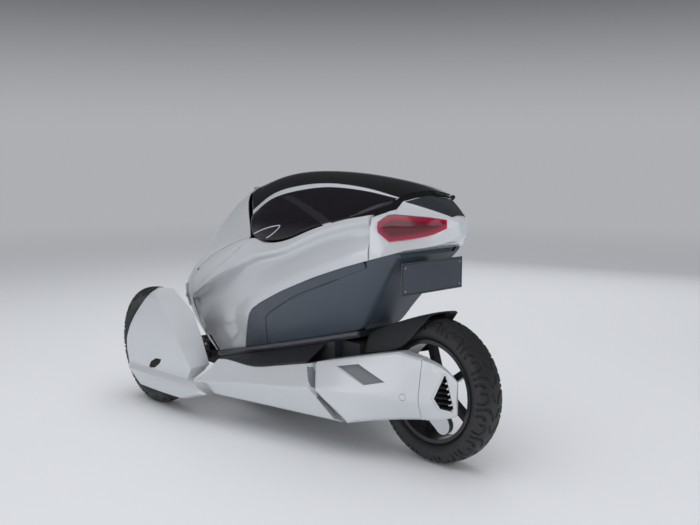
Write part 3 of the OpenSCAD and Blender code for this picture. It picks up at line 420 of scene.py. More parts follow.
# %% [markdown]
# ## Smooth panels
# The solid panels are made of flat facets. A pressed or moulded panel has none, so a copy of each
# one is welded, its triangles are joined to four-sided faces, its real edges are marked, and a
# subdivision surface rounds all that lies between them. A narrow bevel then takes the sharpness off
# the marked edges, because a real edge always catches a line of light.

# %% A dressed copy of a solid piece
WELD = 0.00002
EDGE_BEVEL = 0.0012
ROUNDING = 2
SLOT_OF = {row["node"]: row["material_slot"] for row in frame["record"]["subparts"]}
BODY_OF = {n: body for body, members in frame["record"]["behaviour"]["bodies"].items() for n in members}


def welded_copy(node):
    """The node's triangles joined into one welded mesh of four-sided faces."""
    work = bmesh.new()
    work.from_mesh(nodes[node].data)
    bmesh.ops.remove_doubles(work, verts=work.verts[:], dist=WELD)
    bmesh.ops.join_triangles(work, faces=work.faces[:], angle_face_threshold=math.radians(25),
                             angle_shape_threshold=math.radians(70))
    return work


def smooth_copy(node, sharp, paint=None):
    """A smooth copy of a faceted node, with its real edges kept."""
    work = welded_copy(node)
    crease = work.edges.layers.float.new("crease_edge")
    limit = math.radians(sharp)
    for edge in work.edges:
        if len(edge.link_faces) == 2 and edge.calc_face_angle(0.0) > limit:
            edge[crease] = 1.0
    piece = stand(node + "_skin", meshed(node + "_skin", work))
    round_off(piece, ROUNDING)
    bevel_edges(piece, EDGE_BEVEL, sharp)
    settle(piece)
    shade(piece, sharp)
    dress(piece, paint or SLOT_OF[node])
    return piece


def take_over(piece, *covered):
    """Sets a piece, as the look of one or more nodes, on their body, and hides those nodes."""
    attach(piece, BODY_OF[covered[0]])
    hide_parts(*covered)
    return piece


PAINT = {"roof_glass": "roof_tint", "tail_deck": "deck_gloss", "canopy_hinge": "white_paint",
         "hinge_bracket": "white_paint"}
SMOOTH = {
    "waist_strips": 40, "lower_panels": 40, "sill_rails": 28,
    "nose_cowl": 40, "hood": 40, "headlamps": 40, "tail_cowl": 26, "tail_deck": 40,
    "pod_left": 18, "pod_right": 18, "pod_inserts": 40, "rear_fender": 40,
    "fairing_left": 32, "fairing_right": 32, "roof_glass": 40, "side_glass": 40, "canopy_rails": 40,
    "tail_lamps": 24,
}
skins = {node: take_over(smooth_copy(node, limit, PAINT.get(node)), node)
         for node, limit in SMOOTH.items()}
for node, obj in nodes.items():
    if node not in SMOOTH:
        dress(obj, PAINT.get(node, SLOT_OF[node]))
print("smooth panels:", len(skins), "faces:", sum(len(p.data.polygons) for p in skins.values()))

# %% [markdown]
# ## Tyres
# A road tyre carries the same short run of grooves over and over, round its whole crown. So one run,
# called a pitch, is modelled as a curved strip from bead to bead: the grooves are drawn as a few
# bent lines on the flattened crown, and every point near a line is pressed down. A node tree then
# sets the strip round the axle as often as it fits and welds the seams.

# %% One pitch of tread
# Section from the bead to the crown: share of the half width, share of the height over the bead
TYRE_SECTION = [(0.62, 0.0), (0.62, 0.12), (0.80, 0.2), (0.92, 0.3), (1.0, 0.5), (0.97, 0.66),
                (0.86, 0.82), (0.66, 0.92), (0.4, 0.98), (0.0, 1.0)]
# Grooves on one half of the crown: points at (share of the pitch, share of the way to the shoulder)
GROOVES = [
    [(0.04, 0.10), (0.26, 0.26), (0.40, 0.55), (0.36, 0.98)],
    [(0.56, 0.98), (0.58, 0.62), (0.70, 0.44), (0.86, 0.50), (0.90, 0.74)],
    [(0.62, 0.08), (0.84, 0.22)],
    [(0.06, 0.56), (0.18, 0.76), (0.14, 0.98)],
]
GROOVE_HALF = 0.0042
GROOVE_EDGE = 0.0014
GROOVE_DEPTH = 0.0065
RIB_HEIGHT, RIBS = 0.0008, 9
RIB_FROM, RIB_TO = 0.18, 0.5
SHOULDER_AT = 0.6
TREAD_STEP, ROW_STEP = 0.0032, 0.003


def curve_through(points, per_span):
    """Points on a smooth curve through the given points."""
    p = np.array([points[0], *points, points[-1]], float)
    out = []
    for i in range(1, len(p) - 2):
        for t in np.linspace(0, 1, per_span, endpoint=False):
            a, b, c, d = p[i - 1], p[i], p[i + 1], p[i + 2]
            out.append(0.5 * (2 * b + (c - a) * t + (2 * a - 5 * b + 4 * c - d) * t * t
                              + (3 * b - a - 3 * c + d) * t ** 3))
    out.append(p[-2])
    return np.array(out)


def distance_to_line(px, py, line):
    """Distance of many points to a bent line."""
    best = np.full(px.shape, 1e9)
    for (ax, ay), (bx, by) in zip(line[:-1], line[1:]):
        dx, dy = bx - ax, by - ay
        t = np.clip(((px - ax) * dx + (py - ay) * dy) / (dx * dx + dy * dy), 0, 1)
        best = np.minimum(best, np.hypot(px - ax - t * dx, py - ay - t * dy))
    return best


def groove_depth(around, out, pitch, shoulder):
    """How far each point of the crown is pressed down; the two halves are half a pitch apart."""
    depth = np.zeros(around.shape)
    for line in GROOVES:
        bent = curve_through([(a * pitch, b * shoulder) for a, b in line], 6)
        for half, shift in ((1, 0.0), (-1, 0.5 * pitch)):
            for turn in (-pitch, 0.0, pitch):
                near = distance_to_line(around + shift + turn, out * half, bent)
                cut = 1 - np.clip((near - GROOVE_HALF) / GROOVE_EDGE, 0, 1)
                depth = np.maximum(depth, cut * (out * half > -0.002))
    return GROOVE_DEPTH * depth


def tread_pitch(name, radius, width, bead, pitches, columns):
    """A strip of tyre one pitch long, centred on an axle that lies along Y."""
    height = radius - bead
    half = curve_through([(bead + height * h, width / 2 * w) for w, h in TYRE_SECTION], 5)
    section = np.vstack([half, (half * [1, -1])[-2::-1]])
    along = np.concatenate([[0], np.cumsum(np.hypot(*np.diff(section, axis=0).T))])
    rows = np.linspace(0, along[-1], int(along[-1] / ROW_STEP))
    radii = np.interp(rows, along, section[:, 0])
    across = np.interp(rows, along, section[:, 1])
    middle = along[-1] / 2
    out = middle - rows
    shoulder = np.interp(bead + height * SHOULDER_AT, half[:, 0], middle - along[:len(half)])
    pitch = 2 * math.pi * radius / pitches
    grid_a, grid_o = np.meshgrid(np.linspace(0, pitch, columns + 1), out, indexing="ij")
    cut = groove_depth(grid_a, grid_o, pitch, shoulder)
    share = (radii - bead) / height
    flank = (share > RIB_FROM) & (share < RIB_TO)
    rib = RIB_HEIGHT * np.clip(1 - np.abs(((share - 0.2) * RIBS) % 1 - 0.5) * 5, 0, 1) * flank
    edge = np.gradient(radii), np.gradient(across)
    normal = np.stack([-edge[1], edge[0]]) / np.hypot(*edge)
    lift = rib[None, :] - cut
    r = radii + normal[0] * lift
    y = across + normal[1] * lift
    angle = np.linspace(0, 2 * math.pi / pitches, columns + 1)[:, None]
    points = np.stack([r * np.sin(angle), y, r * np.cos(angle)], -1).reshape(-1, 3)
    n = len(rows)
    faces = [(i * n + j, (i + 1) * n + j, (i + 1) * n + j + 1, i * n + j + 1)
             for i in range(columns) for j in range(n - 1)]
    faces += [(i * n + n - 1, (i + 1) * n + n - 1, (i + 1) * n, i * n) for i in range(columns)]
    mesh = bpy.data.meshes.new(name)
    mesh.from_pydata(points.tolist(), [], faces)
    return mesh


# %% A node tree that sets a pitch round the axle
SEAM_WELD = 0.0001


def node_tree(name, **inputs):
    """A geometry node tree with named inputs, and the sockets of those inputs."""
    tree = bpy.data.node_groups.new(name, "GeometryNodeTree")
    for label, kind in {"Geometry": "Geometry", **inputs, "Finish": "Material"}.items():
        tree.interface.new_socket(label, in_out="INPUT", socket_type="NodeSocket" + kind)
    tree.interface.new_socket("Geometry", in_out="OUTPUT", socket_type="NodeSocketGeometry")
    return tree, tree.nodes.new("NodeGroupInput").outputs


def painted(tree, given, shape):
    """Ends a node tree: the shape gets the finish and leaves the tree."""
    paint = put(tree, "GeometryNodeSetMaterial", {"Geometry": shape, "Material": given["Finish"]})
    put(tree, "NodeGroupOutput", {0: paint[0]})
    return tree


def ring_tree():
    """Copies the incoming strip round the Y axis, welds the copies and moves them to the axle."""
    tree, given = node_tree("pitch_ring", Pitches="Int", Axle="Vector")
    seats = put(tree, "GeometryNodePoints", {"Count": given["Pitches"]})
    index = put(tree, "GeometryNodeInputIndex")
    share = put(tree, "ShaderNodeMath", {0: index[0], 1: given["Pitches"]}, operation="DIVIDE")
    angle = put(tree, "ShaderNodeMath", {0: share[0], 1: 2 * math.pi}, operation="MULTIPLY")
    turn = put(tree, "ShaderNodeCombineXYZ", {"Y": angle[0]})
    euler = put(tree, "FunctionNodeEulerToRotation", {0: turn[0]})
    place = put(tree, "GeometryNodeInstanceOnPoints",
                {"Points": seats[0], "Instance": given["Geometry"], "Rotation": euler[0]})
    real = put(tree, "GeometryNodeRealizeInstances", {0: place[0]})
    weld = put(tree, "GeometryNodeMergeByDistance", {"Geometry": real[0], "Distance": SEAM_WELD})
    move = put(tree, "GeometryNodeTransform", {"Geometry": weld[0], "Translation": given["Axle"]})
    return painted(tree, given, move[0])


def grow(piece, tree, **values):
    """Runs a node tree on a piece, with its inputs set by the identifiers of their named sockets."""
    modifier = piece.modifiers.new(tree.name, "NODES")
    modifier.node_group = tree
    for item in tree.interface.items_tree:
        if item.item_type == "SOCKET" and item.in_out == "INPUT" and item.name in values:
            modifier[item.identifier] = values[item.name]
    settle(piece)


RING = ring_tree()


def treaded_tyre(node, pitches):
    """A treaded stand-in for a plain tyre node."""
    low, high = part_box(node)
    axle = (low + high) / 2
    radius = (high.z - low.z) / 2
    width = high.y - low.y
    points = points_of(nodes[node])
    bead = np.hypot(points[:, 0] - axle.x, points[:, 2] - axle.z).min()
    columns = int(2 * math.pi * radius / pitches / TREAD_STEP)
    name = node + "_treaded"
    piece = stand(name, tread_pitch(name, radius, width, bead, pitches, columns))
    grow(piece, RING, Pitches=pitches, Axle=tuple(axle), Finish=FINISH["tyre"])
    outward(piece)
    shade(piece, 50)
    return take_over(piece, node)


PITCHES = {"rear_tyre": 14, "front_tyre_left": 16, "front_tyre_right": 16}
tyres = [treaded_tyre(node, pitches) for node, pitches in PITCHES.items()]
print("faces in the tyres:", [len(t.data.polygons) for t in tyres])

# %% [markdown]
# ## The rear arm
# The rear wheel hangs on one arm on the left. Its outer face has a sloping scoop with a grey floor,
# a round flush cap over a bolt, and an end cap with a framed opening that is filled with louvres.
# Openings like these could be drawn as dark patches, but then they would look flat from the side, so
# they are cut: a prism that follows the arm's surface is taken away from the smooth copy, and what
# the prism leaves behind takes the prism's own finish.

# %% Find the outer surface and cut into it
MM = 0.001
PRISM_OUT = 40.0
SAME_FACE = 0.0004


def outer_surface(piece):
    """A search tree over a piece's faces."""
    work = bmesh.new()
    work.from_mesh(piece.data)
    tree = BVHTree.FromBMesh(work)
    work.free()
    return tree


def left_face(tree, x, z):
    """Point and normal of the left face at a place given in millimetres."""
    hit, normal, _, _ = tree.ray_cast(Vector((x * MM, 1.0, z * MM)), Vector((0, -1, 0)))
    return hit, normal


def prism(name, tree, outline, depths, material, walls=None):
    """A prism over an outline of (x, z) on the left face, with its own depth at each corner."""
    roof, foot = [], []
    for (x, z), depth in zip(outline, depths):
        hit, _ = left_face(tree, x, z)
        roof.append((hit.x, hit.y + PRISM_OUT * MM, hit.z))
        foot.append((hit.x, hit.y - depth * MM, hit.z))
    n = len(outline)
    sides = [(i, (i + 1) % n, n + (i + 1) % n, n + i) for i in range(n)]
    tool = drawn(name, roof + foot, [tuple(range(n)), tuple(range(n, 2 * n)), *sides], material)
    if walls:
        tool.data.materials.append(FINISH[walls])
        tool.data.polygons.foreach_set("material_index", [0, 0] + [1] * n)
    outward(tool)
    return tool


def carve(piece, *tools):
    """Takes each tool's shape away from a piece; the outer face keeps the uncut surface's shading."""
    uncut = stand("uncut", piece.data.copy())
    for tool in tools:
        cut = piece.modifiers.new("cut", "BOOLEAN")
        cut.operation = "DIFFERENCE"
        cut.solver = "EXACT"
        cut.material_mode = "TRANSFER"
        cut.object = tool
        settle(piece)
        bpy.data.objects.remove(tool)
    search = outer_surface(uncut)
    outside = piece.vertex_groups.new(name="outside")
    kept = [v.index for v in piece.data.vertices if search.find_nearest(v.co)[3] < SAME_FACE]
    outside.add(kept, 1.0, "REPLACE")
    shade(piece, 24)
    keep = piece.modifiers.new("shading", "DATA_TRANSFER")
    keep.object = uncut
    keep.use_loop_data = True
    keep.data_types_loops = {"CUSTOM_NORMAL"}
    keep.loop_mapping = "POLYINTERP_NEAREST"
    keep.vertex_group = "outside"
    settle(piece)
    piece.vertex_groups.clear()
    bpy.data.objects.remove(uncut)


# %% Scoop in the arm's flank
SCOOP = [(-461, 405), (-562, 426), (-692, 362), (-602, 339)]
SCOOP_DEPTHS = [13, 16, 5, 9]

arm = smooth_copy("swing_arm", 18)
arm_face = outer_surface(arm)
carve(arm, prism("scoop", arm_face, SCOOP, SCOOP_DEPTHS, "vent_grey", walls="white_paint"))
take_over(arm, "swing_arm")
print("faces in the arm:", len(arm.data.polygons))

# %% [markdown]
# ## The end cap and its louvres
# The cap's opening is cut in two steps: a shallow wide one, which leaves a bevelled frame, and a deep
# one inside it. Six slats fill it. They are one short plate, set by a node tree at equal steps on the
# way from the sill of the opening to its tip, and each is stretched to the width it finds there.

# %% Cut the framed opening
FRAME = [(-950, 437), (-964, 435), (-1008, 293), (-997, 268), (-934, 271), (-904, 322)]
OPENING = [(-953, 424), (-961, 424), (-1000, 292), (-992, 276), (-940, 280), (-914, 321)]
FRAME_DEPTH, OPENING_DEPTH = 3.0, 24.0

cap = smooth_copy("arm_cap", 18)
cap_face = outer_surface(cap)
# The deep opening's cut faces take the near-black finish: painted shade behind the louvres.
carve(cap, prism("frame", cap_face, FRAME, [FRAME_DEPTH] * len(FRAME), "white_paint"),
      prism("opening", cap_face, OPENING, [OPENING_DEPTH] * len(OPENING), "painted_shade_and_seam_black"))
take_over(cap, "arm_cap")

# %% A node tree for a stack of slats


def slat_tree():
    """Sets the incoming slat on each incoming point's own place, turn and stretch."""
    tree, given = node_tree("slat_stack", Slat="Object")
    slat = put(tree, "GeometryNodeObjectInfo", {"Object": given["Slat"]})
    turn, stretch = (put(tree, "GeometryNodeInputNamedAttribute", {"Name": label}, data_type="FLOAT_VECTOR")
                     for label in ("turn", "stretch"))
    euler = put(tree, "FunctionNodeEulerToRotation", {0: turn[0]})
    place = put(tree, "GeometryNodeInstanceOnPoints", {"Points": given["Geometry"], "Instance": slat["Geometry"],
                                                       "Rotation": euler[0], "Scale": stretch[0]})
    real = put(tree, "GeometryNodeRealizeInstances", {0: place[0]})
    return painted(tree, given, real[0])


SLATS = slat_tree()


def bevelled_block(name, size, bevel):
    """A small block with rounded edges, centred on the origin."""
    work = bmesh.new()
    bmesh.ops.create_cube(work, size=1.0)
    bmesh.ops.scale(work, vec=Vector(size), verts=work.verts[:])
    bmesh.ops.bevel(work, geom=work.edges[:], offset=bevel, segments=2, affect="EDGES", profile=0.5)
    return meshed(name, work)


def placed_copies(name, places, mesh, material, turns=None, stretches=None):
    """Copies of a mesh at given places, each with its own turn and stretch, as one plain mesh."""
    piece = drawn(name, places, [])
    for label, rows, plain in (("turn", turns, (0, 0, 0)), ("stretch", stretches, (1, 1, 1))):
        layer = piece.data.attributes.new(label, "FLOAT_VECTOR", "POINT")
        layer.data.foreach_set("vector", np.array(rows or [plain] * len(places), float).ravel())
    pattern = stand(name + "_pattern", mesh)
    grow(piece, SLATS, Slat=pattern, Finish=FINISH[material])
    bpy.data.objects.remove(pattern)
    return piece


# %% Six slats and the teeth at their ends
SLAT_ZS = [288, 310, 332, 354, 376, 398]
SLAT_TIP = math.radians(32)
SLAT_SIZE, SLAT_BEVEL = (1.0, 0.020, 0.0035), 0.0009
SLAT_BACK = Vector((0, 0.012, 0))
TOOTH_SIZE, TOOTH_BEVEL = (0.012, 0.010, 0.007), 0.001
TOOTH_BACK = Vector((0, 0.006, 0.004))
INSET = 3


def edge_x(corners, z):
    """Place of a sloping edge at a height."""
    (xa, za), (xb, zb) = corners
    return xa + (xb - xa) * (z - za) / (zb - za)


places, turns, stretches, tooth_places = [], [], [], []
for z in SLAT_ZS:
    front = edge_x([OPENING[5], OPENING[0]] if z > OPENING[5][1] else [OPENING[4], OPENING[5]], z)
    rear = edge_x([OPENING[2], OPENING[1]], z)
    mid, _ = left_face(cap_face, (front + rear) / 2, z)
    near, _ = left_face(cap_face, front - INSET, z)
    far, _ = left_face(cap_face, rear + INSET, z)
    places.append(mid - SLAT_BACK)
    turns.append((SLAT_TIP, 0.0, math.atan2(far.y - near.y, far.x - near.x)))
    stretches.append(((front - rear) * MM, 1, 1))
    tooth_places.append(far - TOOTH_BACK)
louvres = placed_copies("arm_louvres", places, bevelled_block("slat", SLAT_SIZE, SLAT_BEVEL),
                        "black_trim", turns, stretches)
shade(louvres, 35)
take_over(louvres, "arm_grille")
teeth = placed_copies("louvre_teeth", tooth_places, bevelled_block("tooth", TOOTH_SIZE, TOOTH_BEVEL),
                      "white_paint", [(0.0, SLAT_TIP, 0.0)] * len(tooth_places))
shade(teeth, 35)
fit(teeth, "body")
print("slats:", len(places), "faces:", len(louvres.data.polygons))

# %% [markdown]
# ## Flush bolt cap
# A round cap lies flush in the arm's flank. It is turned like a coin on a lathe: a short outline from
# the middle to the rim is spun about the surface's own normal.

# %% Turn a flush cap on the arm
CAP_AT = (-778, 309)
RING_PROFILE = [(0, 0.0002), (0.0146, 0.0002), (0.0158, -0.0008), (0.0158, -0.004)]
CAP_PROFILE = [(0, 0.0009), (0.0115, 0.0008), (0.0134, 0.0005), (0.0138, -0.0002), (0.0138, -0.003)]


def turned(name, profile, centre, axis, material, steps=40):
    """A lathe-turned piece: outline of (radius, height) spun about an axis through a centre."""
    up = Vector(axis).normalized()
    side = up.orthogonal().normalized()
    other = up.cross(side)
    points = [Vector(centre) + up * profile[0][1]]
    for r, h in profile[1:]:
        for i in range(steps):
            a = 2 * math.pi * i / steps
            points.append(Vector(centre) + up * h + (side * math.cos(a) + other * math.sin(a)) * r)
    faces = [(0, 1 + i, 1 + (i + 1) % steps) for i in range(steps)]
    for k in range(len(profile) - 2):
        a, b = 1 + k * steps, 1 + (k + 1) * steps
        faces += [(a + i, b + i, b + (i + 1) % steps, a + (i + 1) % steps) for i in range(steps)]
    last = 1 + (len(profile) - 2) * steps
    faces.append(tuple(last + i for i in reversed(range(steps))))
    piece = drawn(name, points, faces, material)
    outward(piece)
    shade(piece, 35)
    return piece


hit, normal = left_face(arm_face, *CAP_AT)
fit(turned("bolt_cap_ring", RING_PROFILE, hit, normal, "vent_grey"), "body")
fit(turned("bolt_cap", CAP_PROFILE, hit, normal, "white_paint"), "body")
print("flush cap at", [round(v, 3) for v in hit])

# %% [markdown]
# ## The white side walls
# Each wall is one pressed panel. Along its top runs a ridge; under the ridge the panel turns in
# sharply and then swells out again, which gives it a dark band and a long bright belly. A subdivision
# surface would blur that ridge, so the wall is drawn again from the same lines as the solid, finely,
# with one row of points exactly on the ridge and the hollow below it as a smooth curve.

# %% Lines of the wall, from the rear axle forward, in millimetres
REAR_AXLE_X = -824.0
WALL_T = 32.0
WALL_GAP = 0.8
WALL_BEVEL = 0.002
HOLLOW = 20.0
# Station, shoulder y and z, waist y and z, drop of the ridge, swell below the waist
SIDE_LINES = [
    (40, 186, 1140, 203, 941, 26, 0), (170, 256, 1094, 262, 899, 24, 6), (300, 288, 1067, 300, 857, 22, 14),
    (470, 303, 1019, 324, 797, 24, 14), (690, 305, 945, 331, 710, 32, 14), (860, 291, 922, 320, 634, 46, 12),
    (990, 268, 931, 298, 570, 86, 8), (1140, 252, 856, 262, 500, 70, 2), (1290, 236, 775, 216, 452, 50, 0),
    (1420, 219, 705, 196, 420, 34, 0), (1660, 188, 556, 190, 340, 8, 0)]
SILL_LINE = [(40, 201, 943), (363, 126, 545), (622, 205, 480), (877, 240, 417), (1096, 222, 362),
             (1260, 190, 321), (1420, 174, 281), (1660, 168, 224)]
WHITE_FOOT = [(170, 899), (300, 857), (470, 797), (690, 710), (860, 634), (945, 591), (984, 559), (1016, 515),
              (1122, 355), (1412, 283), (1645, 563)]
HOLLOW_SHAPE = [(0, 0.45), (0.06, 0.2), (0.16, -0.85), (0.3, -1), (0.55, -0.4), (0.78, 0.12), (1, 0)]
WALL_FROM, WALL_TO, WALL_STEP = 176, 1630, 10
RIDGE_ROWS, BELLY_ROWS = 5, 28


def span_of(table, x):
    """Index of the table row that x lies behind."""
    i = 0
    while i < len(table) - 2 and x >= table[i + 1][0]:
        i += 1
    return i


def straight_line(table, c, x):
    """Straight reading of a table."""
    i = span_of(table, x)
    a, b = table[i], table[i + 1]
    return a[c] + (b[c] - a[c]) * (x - a[0]) / (b[0] - a[0])


def smooth_line(table, c, x):
    """Smooth reading of a table, with slopes taken from the neighbours."""
    def slope(k):
        a, b = max(k - 1, 0), min(k + 1, len(table) - 1)
        return (table[b][c] - table[a][c]) / (table[b][0] - table[a][0])
    i = span_of(table, x)
    h = table[i + 1][0] - table[i][0]
    u = (x - table[i][0]) / h
    ease = u * u * (3 - 2 * u)
    return (table[i][c] + (table[i + 1][c] - table[i][c]) * ease
            + h * u * (1 - u) * ((1 - u) * slope(i) - u * slope(i + 1)))


# %% Draw both walls


def wall_column(x):
    """Points of the wall's outer face at one station, from the shoulder down."""
    sy, sz, wy, wz, drop, swell = (smooth_line(SIDE_LINES, c, x) for c in range(1, 7))
    by, bz = (straight_line(SILL_LINE, c, x) for c in (1, 2))
    foot = straight_line(WHITE_FOOT, 1, x) + WALL_GAP
    ridge = max(sz - drop, foot + 1)
    heights = [*np.linspace(sz - WALL_GAP, ridge, RIDGE_ROWS, endpoint=False),
               *np.linspace(ridge, foot, BELLY_ROWS)]
    column = []
    for z in heights:
        if z > wz:
            y = sy + (wy - sy) * (sz - z) / (sz - wz)
            r = (sz - drop - z) / (sz - drop - wz)
            y += HOLLOW * (smooth_line(HOLLOW_SHAPE, 1, r) if r > 0 else HOLLOW_SHAPE[0][1] * (sz - z) / drop)
        else:
            g = min(1.0, (wz - z) / max(wz - bz, 1.0))
            y = wy + (by - wy) * g + swell * 4 * g * (1 - g)
        column.append((REAR_AXLE_X + x, y, z))
    return column


def pressed_wall(node, side):
    """A finely drawn wall panel on one side, closed all round."""
    stations = [*range(WALL_FROM, WALL_TO + 1, WALL_STEP), WALL_TO]
    grid = np.array([wall_column(x) for x in stations])
    m, n = grid.shape[:2]
    inner = grid - [0, WALL_T, 0]
    points = np.concatenate([grid.reshape(-1, 3), inner.reshape(-1, 3)]) * [MM, side * MM, MM]
    k = m * n
    faces = []
    for i in range(m - 1):
        for j in range(n - 1):
            a, b, c, d = i * n + j, i * n + j + 1, (i + 1) * n + j + 1, (i + 1) * n + j
            faces += [(a, b, c, d), (k + d, k + c, k + b, k + a)]
    loop = [(i, 0) for i in range(m)] + [(m - 1, j) for j in range(1, n)] + \
           [(i, n - 1) for i in range(m - 2, -1, -1)] + [(0, j) for j in range(n - 2, 0, -1)]
    for (ia, ja), (ib, jb) in zip(loop, loop[1:] + loop[:1]):
        a, b = ia * n + ja, ib * n + jb
        faces.append((a, b, k + b, k + a))
    piece = drawn(node + "_skin", points, faces, "white_paint")
    outward(piece)
    bevel_edges(piece, WALL_BEVEL, 60)
    settle(piece)
    shade(piece, 22)
    return take_over(piece, node)


for node, side in (("side_wall_left", 1), ("side_wall_right", -1)):
    skins[node] = pressed_wall(node, side)
print("faces in a wall:", len(skins["side_wall_left"].data.polygons))

# %% [markdown]
# ## Padded seat
# The seat has three pads: cushion, back and headrest. A pad is foam under a tight cover, so its sides
# pull in and its faces crown. That could be sculpted, but a short cloth simulation does it by itself:
# a slightly smaller copy of the solid is remeshed, blown up with a little pressure, and no point may
# move further than a cap. Sewn channels are pressed in afterwards, because a remesh would lose them.

# %% Blow up one pad
PAD_VOXEL = 0.005
PAD_FRAMES = 20
PAD_PRESSURE = 4.0
CHANNEL_DEPTH = CHANNEL_HALF = 0.006


def swelled(piece, cap):
    """The piece's points after a short pressure simulation, none moved further than the cap."""
    start = points_of(piece)
    cloth = piece.modifiers.new("cover", "CLOTH")
    cloth.settings.quality = 5
    cloth.settings.mass = 0.3
    cloth.settings.tension_stiffness = 12
    cloth.settings.compression_stiffness = 12
    cloth.settings.bending_stiffness = 0.6
    cloth.settings.use_pressure = True
    cloth.settings.uniform_pressure_force = PAD_PRESSURE
    cloth.settings.effector_weights.gravity = 0.0
    cloth.point_cache.frame_start = 1
    cloth.point_cache.frame_end = PAD_FRAMES
    for f in range(1, PAD_FRAMES + 1):
        scene.frame_set(f)
    settle(piece)
    scene.frame_set(1)
    move = points_of(piece) - start
    far = np.linalg.norm(move, axis=1, keepdims=True)
    return start + move * np.minimum(1.0, cap / np.maximum(far, 1e-9))


def set_points(piece, points):
    """Moves all points of a piece."""
    piece.data.vertices.foreach_set("co", points.ravel())
    piece.data.update()


def press_channels(points, normals, lines):
    """Presses sewn channels into a pad: each line is an axis, a place and the span it runs over."""
    out = points.copy()
    for axis, place, other, low, high in lines:
        near = np.abs(points[:, axis] - place) / CHANNEL_HALF
        inside = (points[:, other] > low) & (points[:, other] < high)
        out -= normals * (CHANNEL_DEPTH * np.exp(-near ** 2) * inside)[:, None]
    return out


def pad(node, cap, fill, shrink, lines, material):
    """A padded stand-in for a seat node."""
    piece = stand(node + "_pad", meshed(node + "_pad", welded_copy(node)))
    low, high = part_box(node)
    centre, half = (low + high) / 2, (high - low) / 2
    for v in piece.data.vertices:
        v.co = centre + Vector([(v.co - centre)[k] * (1 - shrink / half[k]) for k in range(3)])
    blocks = piece.modifiers.new("blocks", "REMESH")
    blocks.mode = "VOXEL"
    blocks.voxel_size = PAD_VOXEL
    settle(piece)
    points = swelled(piece, cap)
    set_points(piece, points)
    normals = np.array([v.normal for v in piece.data.vertices])
    set_points(piece, press_channels(points, normals, lines))
    round_off(piece, 1)
    settle(piece)
    piece.data.shade_smooth()
    dress(piece, material)
    take_over(piece, node)
    return piece


# %% Three pads
CUSHION_LINES = [(1, y, 0, -0.21, 0.05) for y in (-0.085, 0.085)] + \
                [(0, x, 1, -0.085, 0.085) for x in (-0.17, -0.115, -0.06, -0.005)]
BACK_LINES = [(1, y, 2, 0.60, 0.89) for y in (-0.095, 0.095)] + \
             [(2, z, 1, -0.095, 0.095) for z in (0.64, 0.70, 0.76, 0.82)]
HEAD_LINES = [(1, y, 2, 0.92, 1.05) for y in (-0.06, 0.06)]

# Largest swell, fill, shrink before the swell, sewn lines and cover of each pad
PADS = {
    "seat_cushion": (0.010, 0.7, 0.006, CUSHION_LINES, "seat_cover"),
    "seat_back": (0.010, 0.7, 0.006, BACK_LINES, "seat_cover"),
    "headrest": (0.008, 0.8, 0.005, HEAD_LINES, "head_cover"),
}

pads = {node: pad(node, *values) for node, values in PADS.items()}
print("faces in the pads:", [len(p.data.polygons) for p in pads.values()])

# %% [markdown]
# ## Stitches
# A double row of stitches runs along each long channel. One stitch is a short rounded thread; the
# node tree that set the slats also sets it, at equal steps along the pad's own surface.

# %% Stitches along the long channels
STITCH_STEP = 0.007
STITCH_SIZE, STITCH_BEVEL = (0.0045, 0.0011, 0.0011), 0.0004
STITCH_LIFT = 0.0003
SIDE_STEP = 0.010


def stitch_rows(pad_piece, ys, start, end, ray):
    """Places and turns of stitches along X or Z on a pad, found by rays onto its surface."""
    tree = outer_surface(pad_piece)
    places, turns = [], []
    count = int((Vector(end) - Vector(start)).length / STITCH_STEP)
    for y in ys:
        last = None
        for i in range(count + 1):
            origin = Vector(start).lerp(Vector(end), i / count) + Vector((0, y, 0))
            hit, normal, _, _ = tree.ray_cast(origin, Vector(ray))
            if hit is None:
                last = None
                continue
            if last is not None:
                run = hit - last
                places.append((hit + last) / 2 + normal * STITCH_LIFT)
                turns.append((0.0, -math.atan2(run.z, run.x), 0.0))
            last = hit
    return places, turns


def stitches(name, node, ys, start, end, ray):
    """All stitches of one pad as one piece."""
    both = [y + s for y in ys for s in (-SIDE_STEP, SIDE_STEP)]
    places, turns = stitch_rows(pads[node], both, start, end, ray)
    piece = placed_copies(name, places, bevelled_block("thread", STITCH_SIZE, STITCH_BEVEL), "thread", turns)
    shade(piece, 40)
    fit(piece, BODY_OF[node])
    print(name, "stitches:", len(places))


stitches("cushion_stitches", "seat_cushion", (-0.085, 0.085), (-0.2, 0, 0.8), (0.04, 0, 0.8), (0, 0, -1))
stitches("back_stitches", "seat_back", (-0.095, 0.095), (0.1, 0, 0.6), (0.1, 0, 0.89), (-1, 0, 0))

# %% [markdown]
# ## Dark lining
# A painted shell is white outside only. Its inside is covered by a dark lining, which also keeps the
# cabin dark behind the tinted glass. Each shell's faces that look toward the middle of the cabin are
# given the lining as their second finish.

# %% Line the shells
CABIN_CORE = Vector((-0.05, 0.0, 0.80))
NOSE_CORE = Vector((0.62, 0.0, 0.52))
LINED = {"side_wall_left": CABIN_CORE, "side_wall_right": CABIN_CORE, "hood": Vector((0.35, 0, 0.6)),
         "nose_cowl": NOSE_CORE, "canopy_rails": CABIN_CORE, "tail_cowl": Vector((-0.45, 0, 0.9)),
         "waist_strips": CABIN_CORE, "lower_panels": CABIN_CORE}
FACING = 0.25


def line_inside(piece, core):
    """Gives faces that look toward a point the lining; returns how many there are."""
    piece.data.materials.append(FINISH["lining"])
    count = 0
    for face in piece.data.polygons:
        toward = core - face.center
        if face.normal.dot(toward) > FACING * toward.length:
            face.material_index = 1
            count += 1
    return count


print("lined faces:", {n: line_inside(skins[n], core) for n, core in LINED.items()})

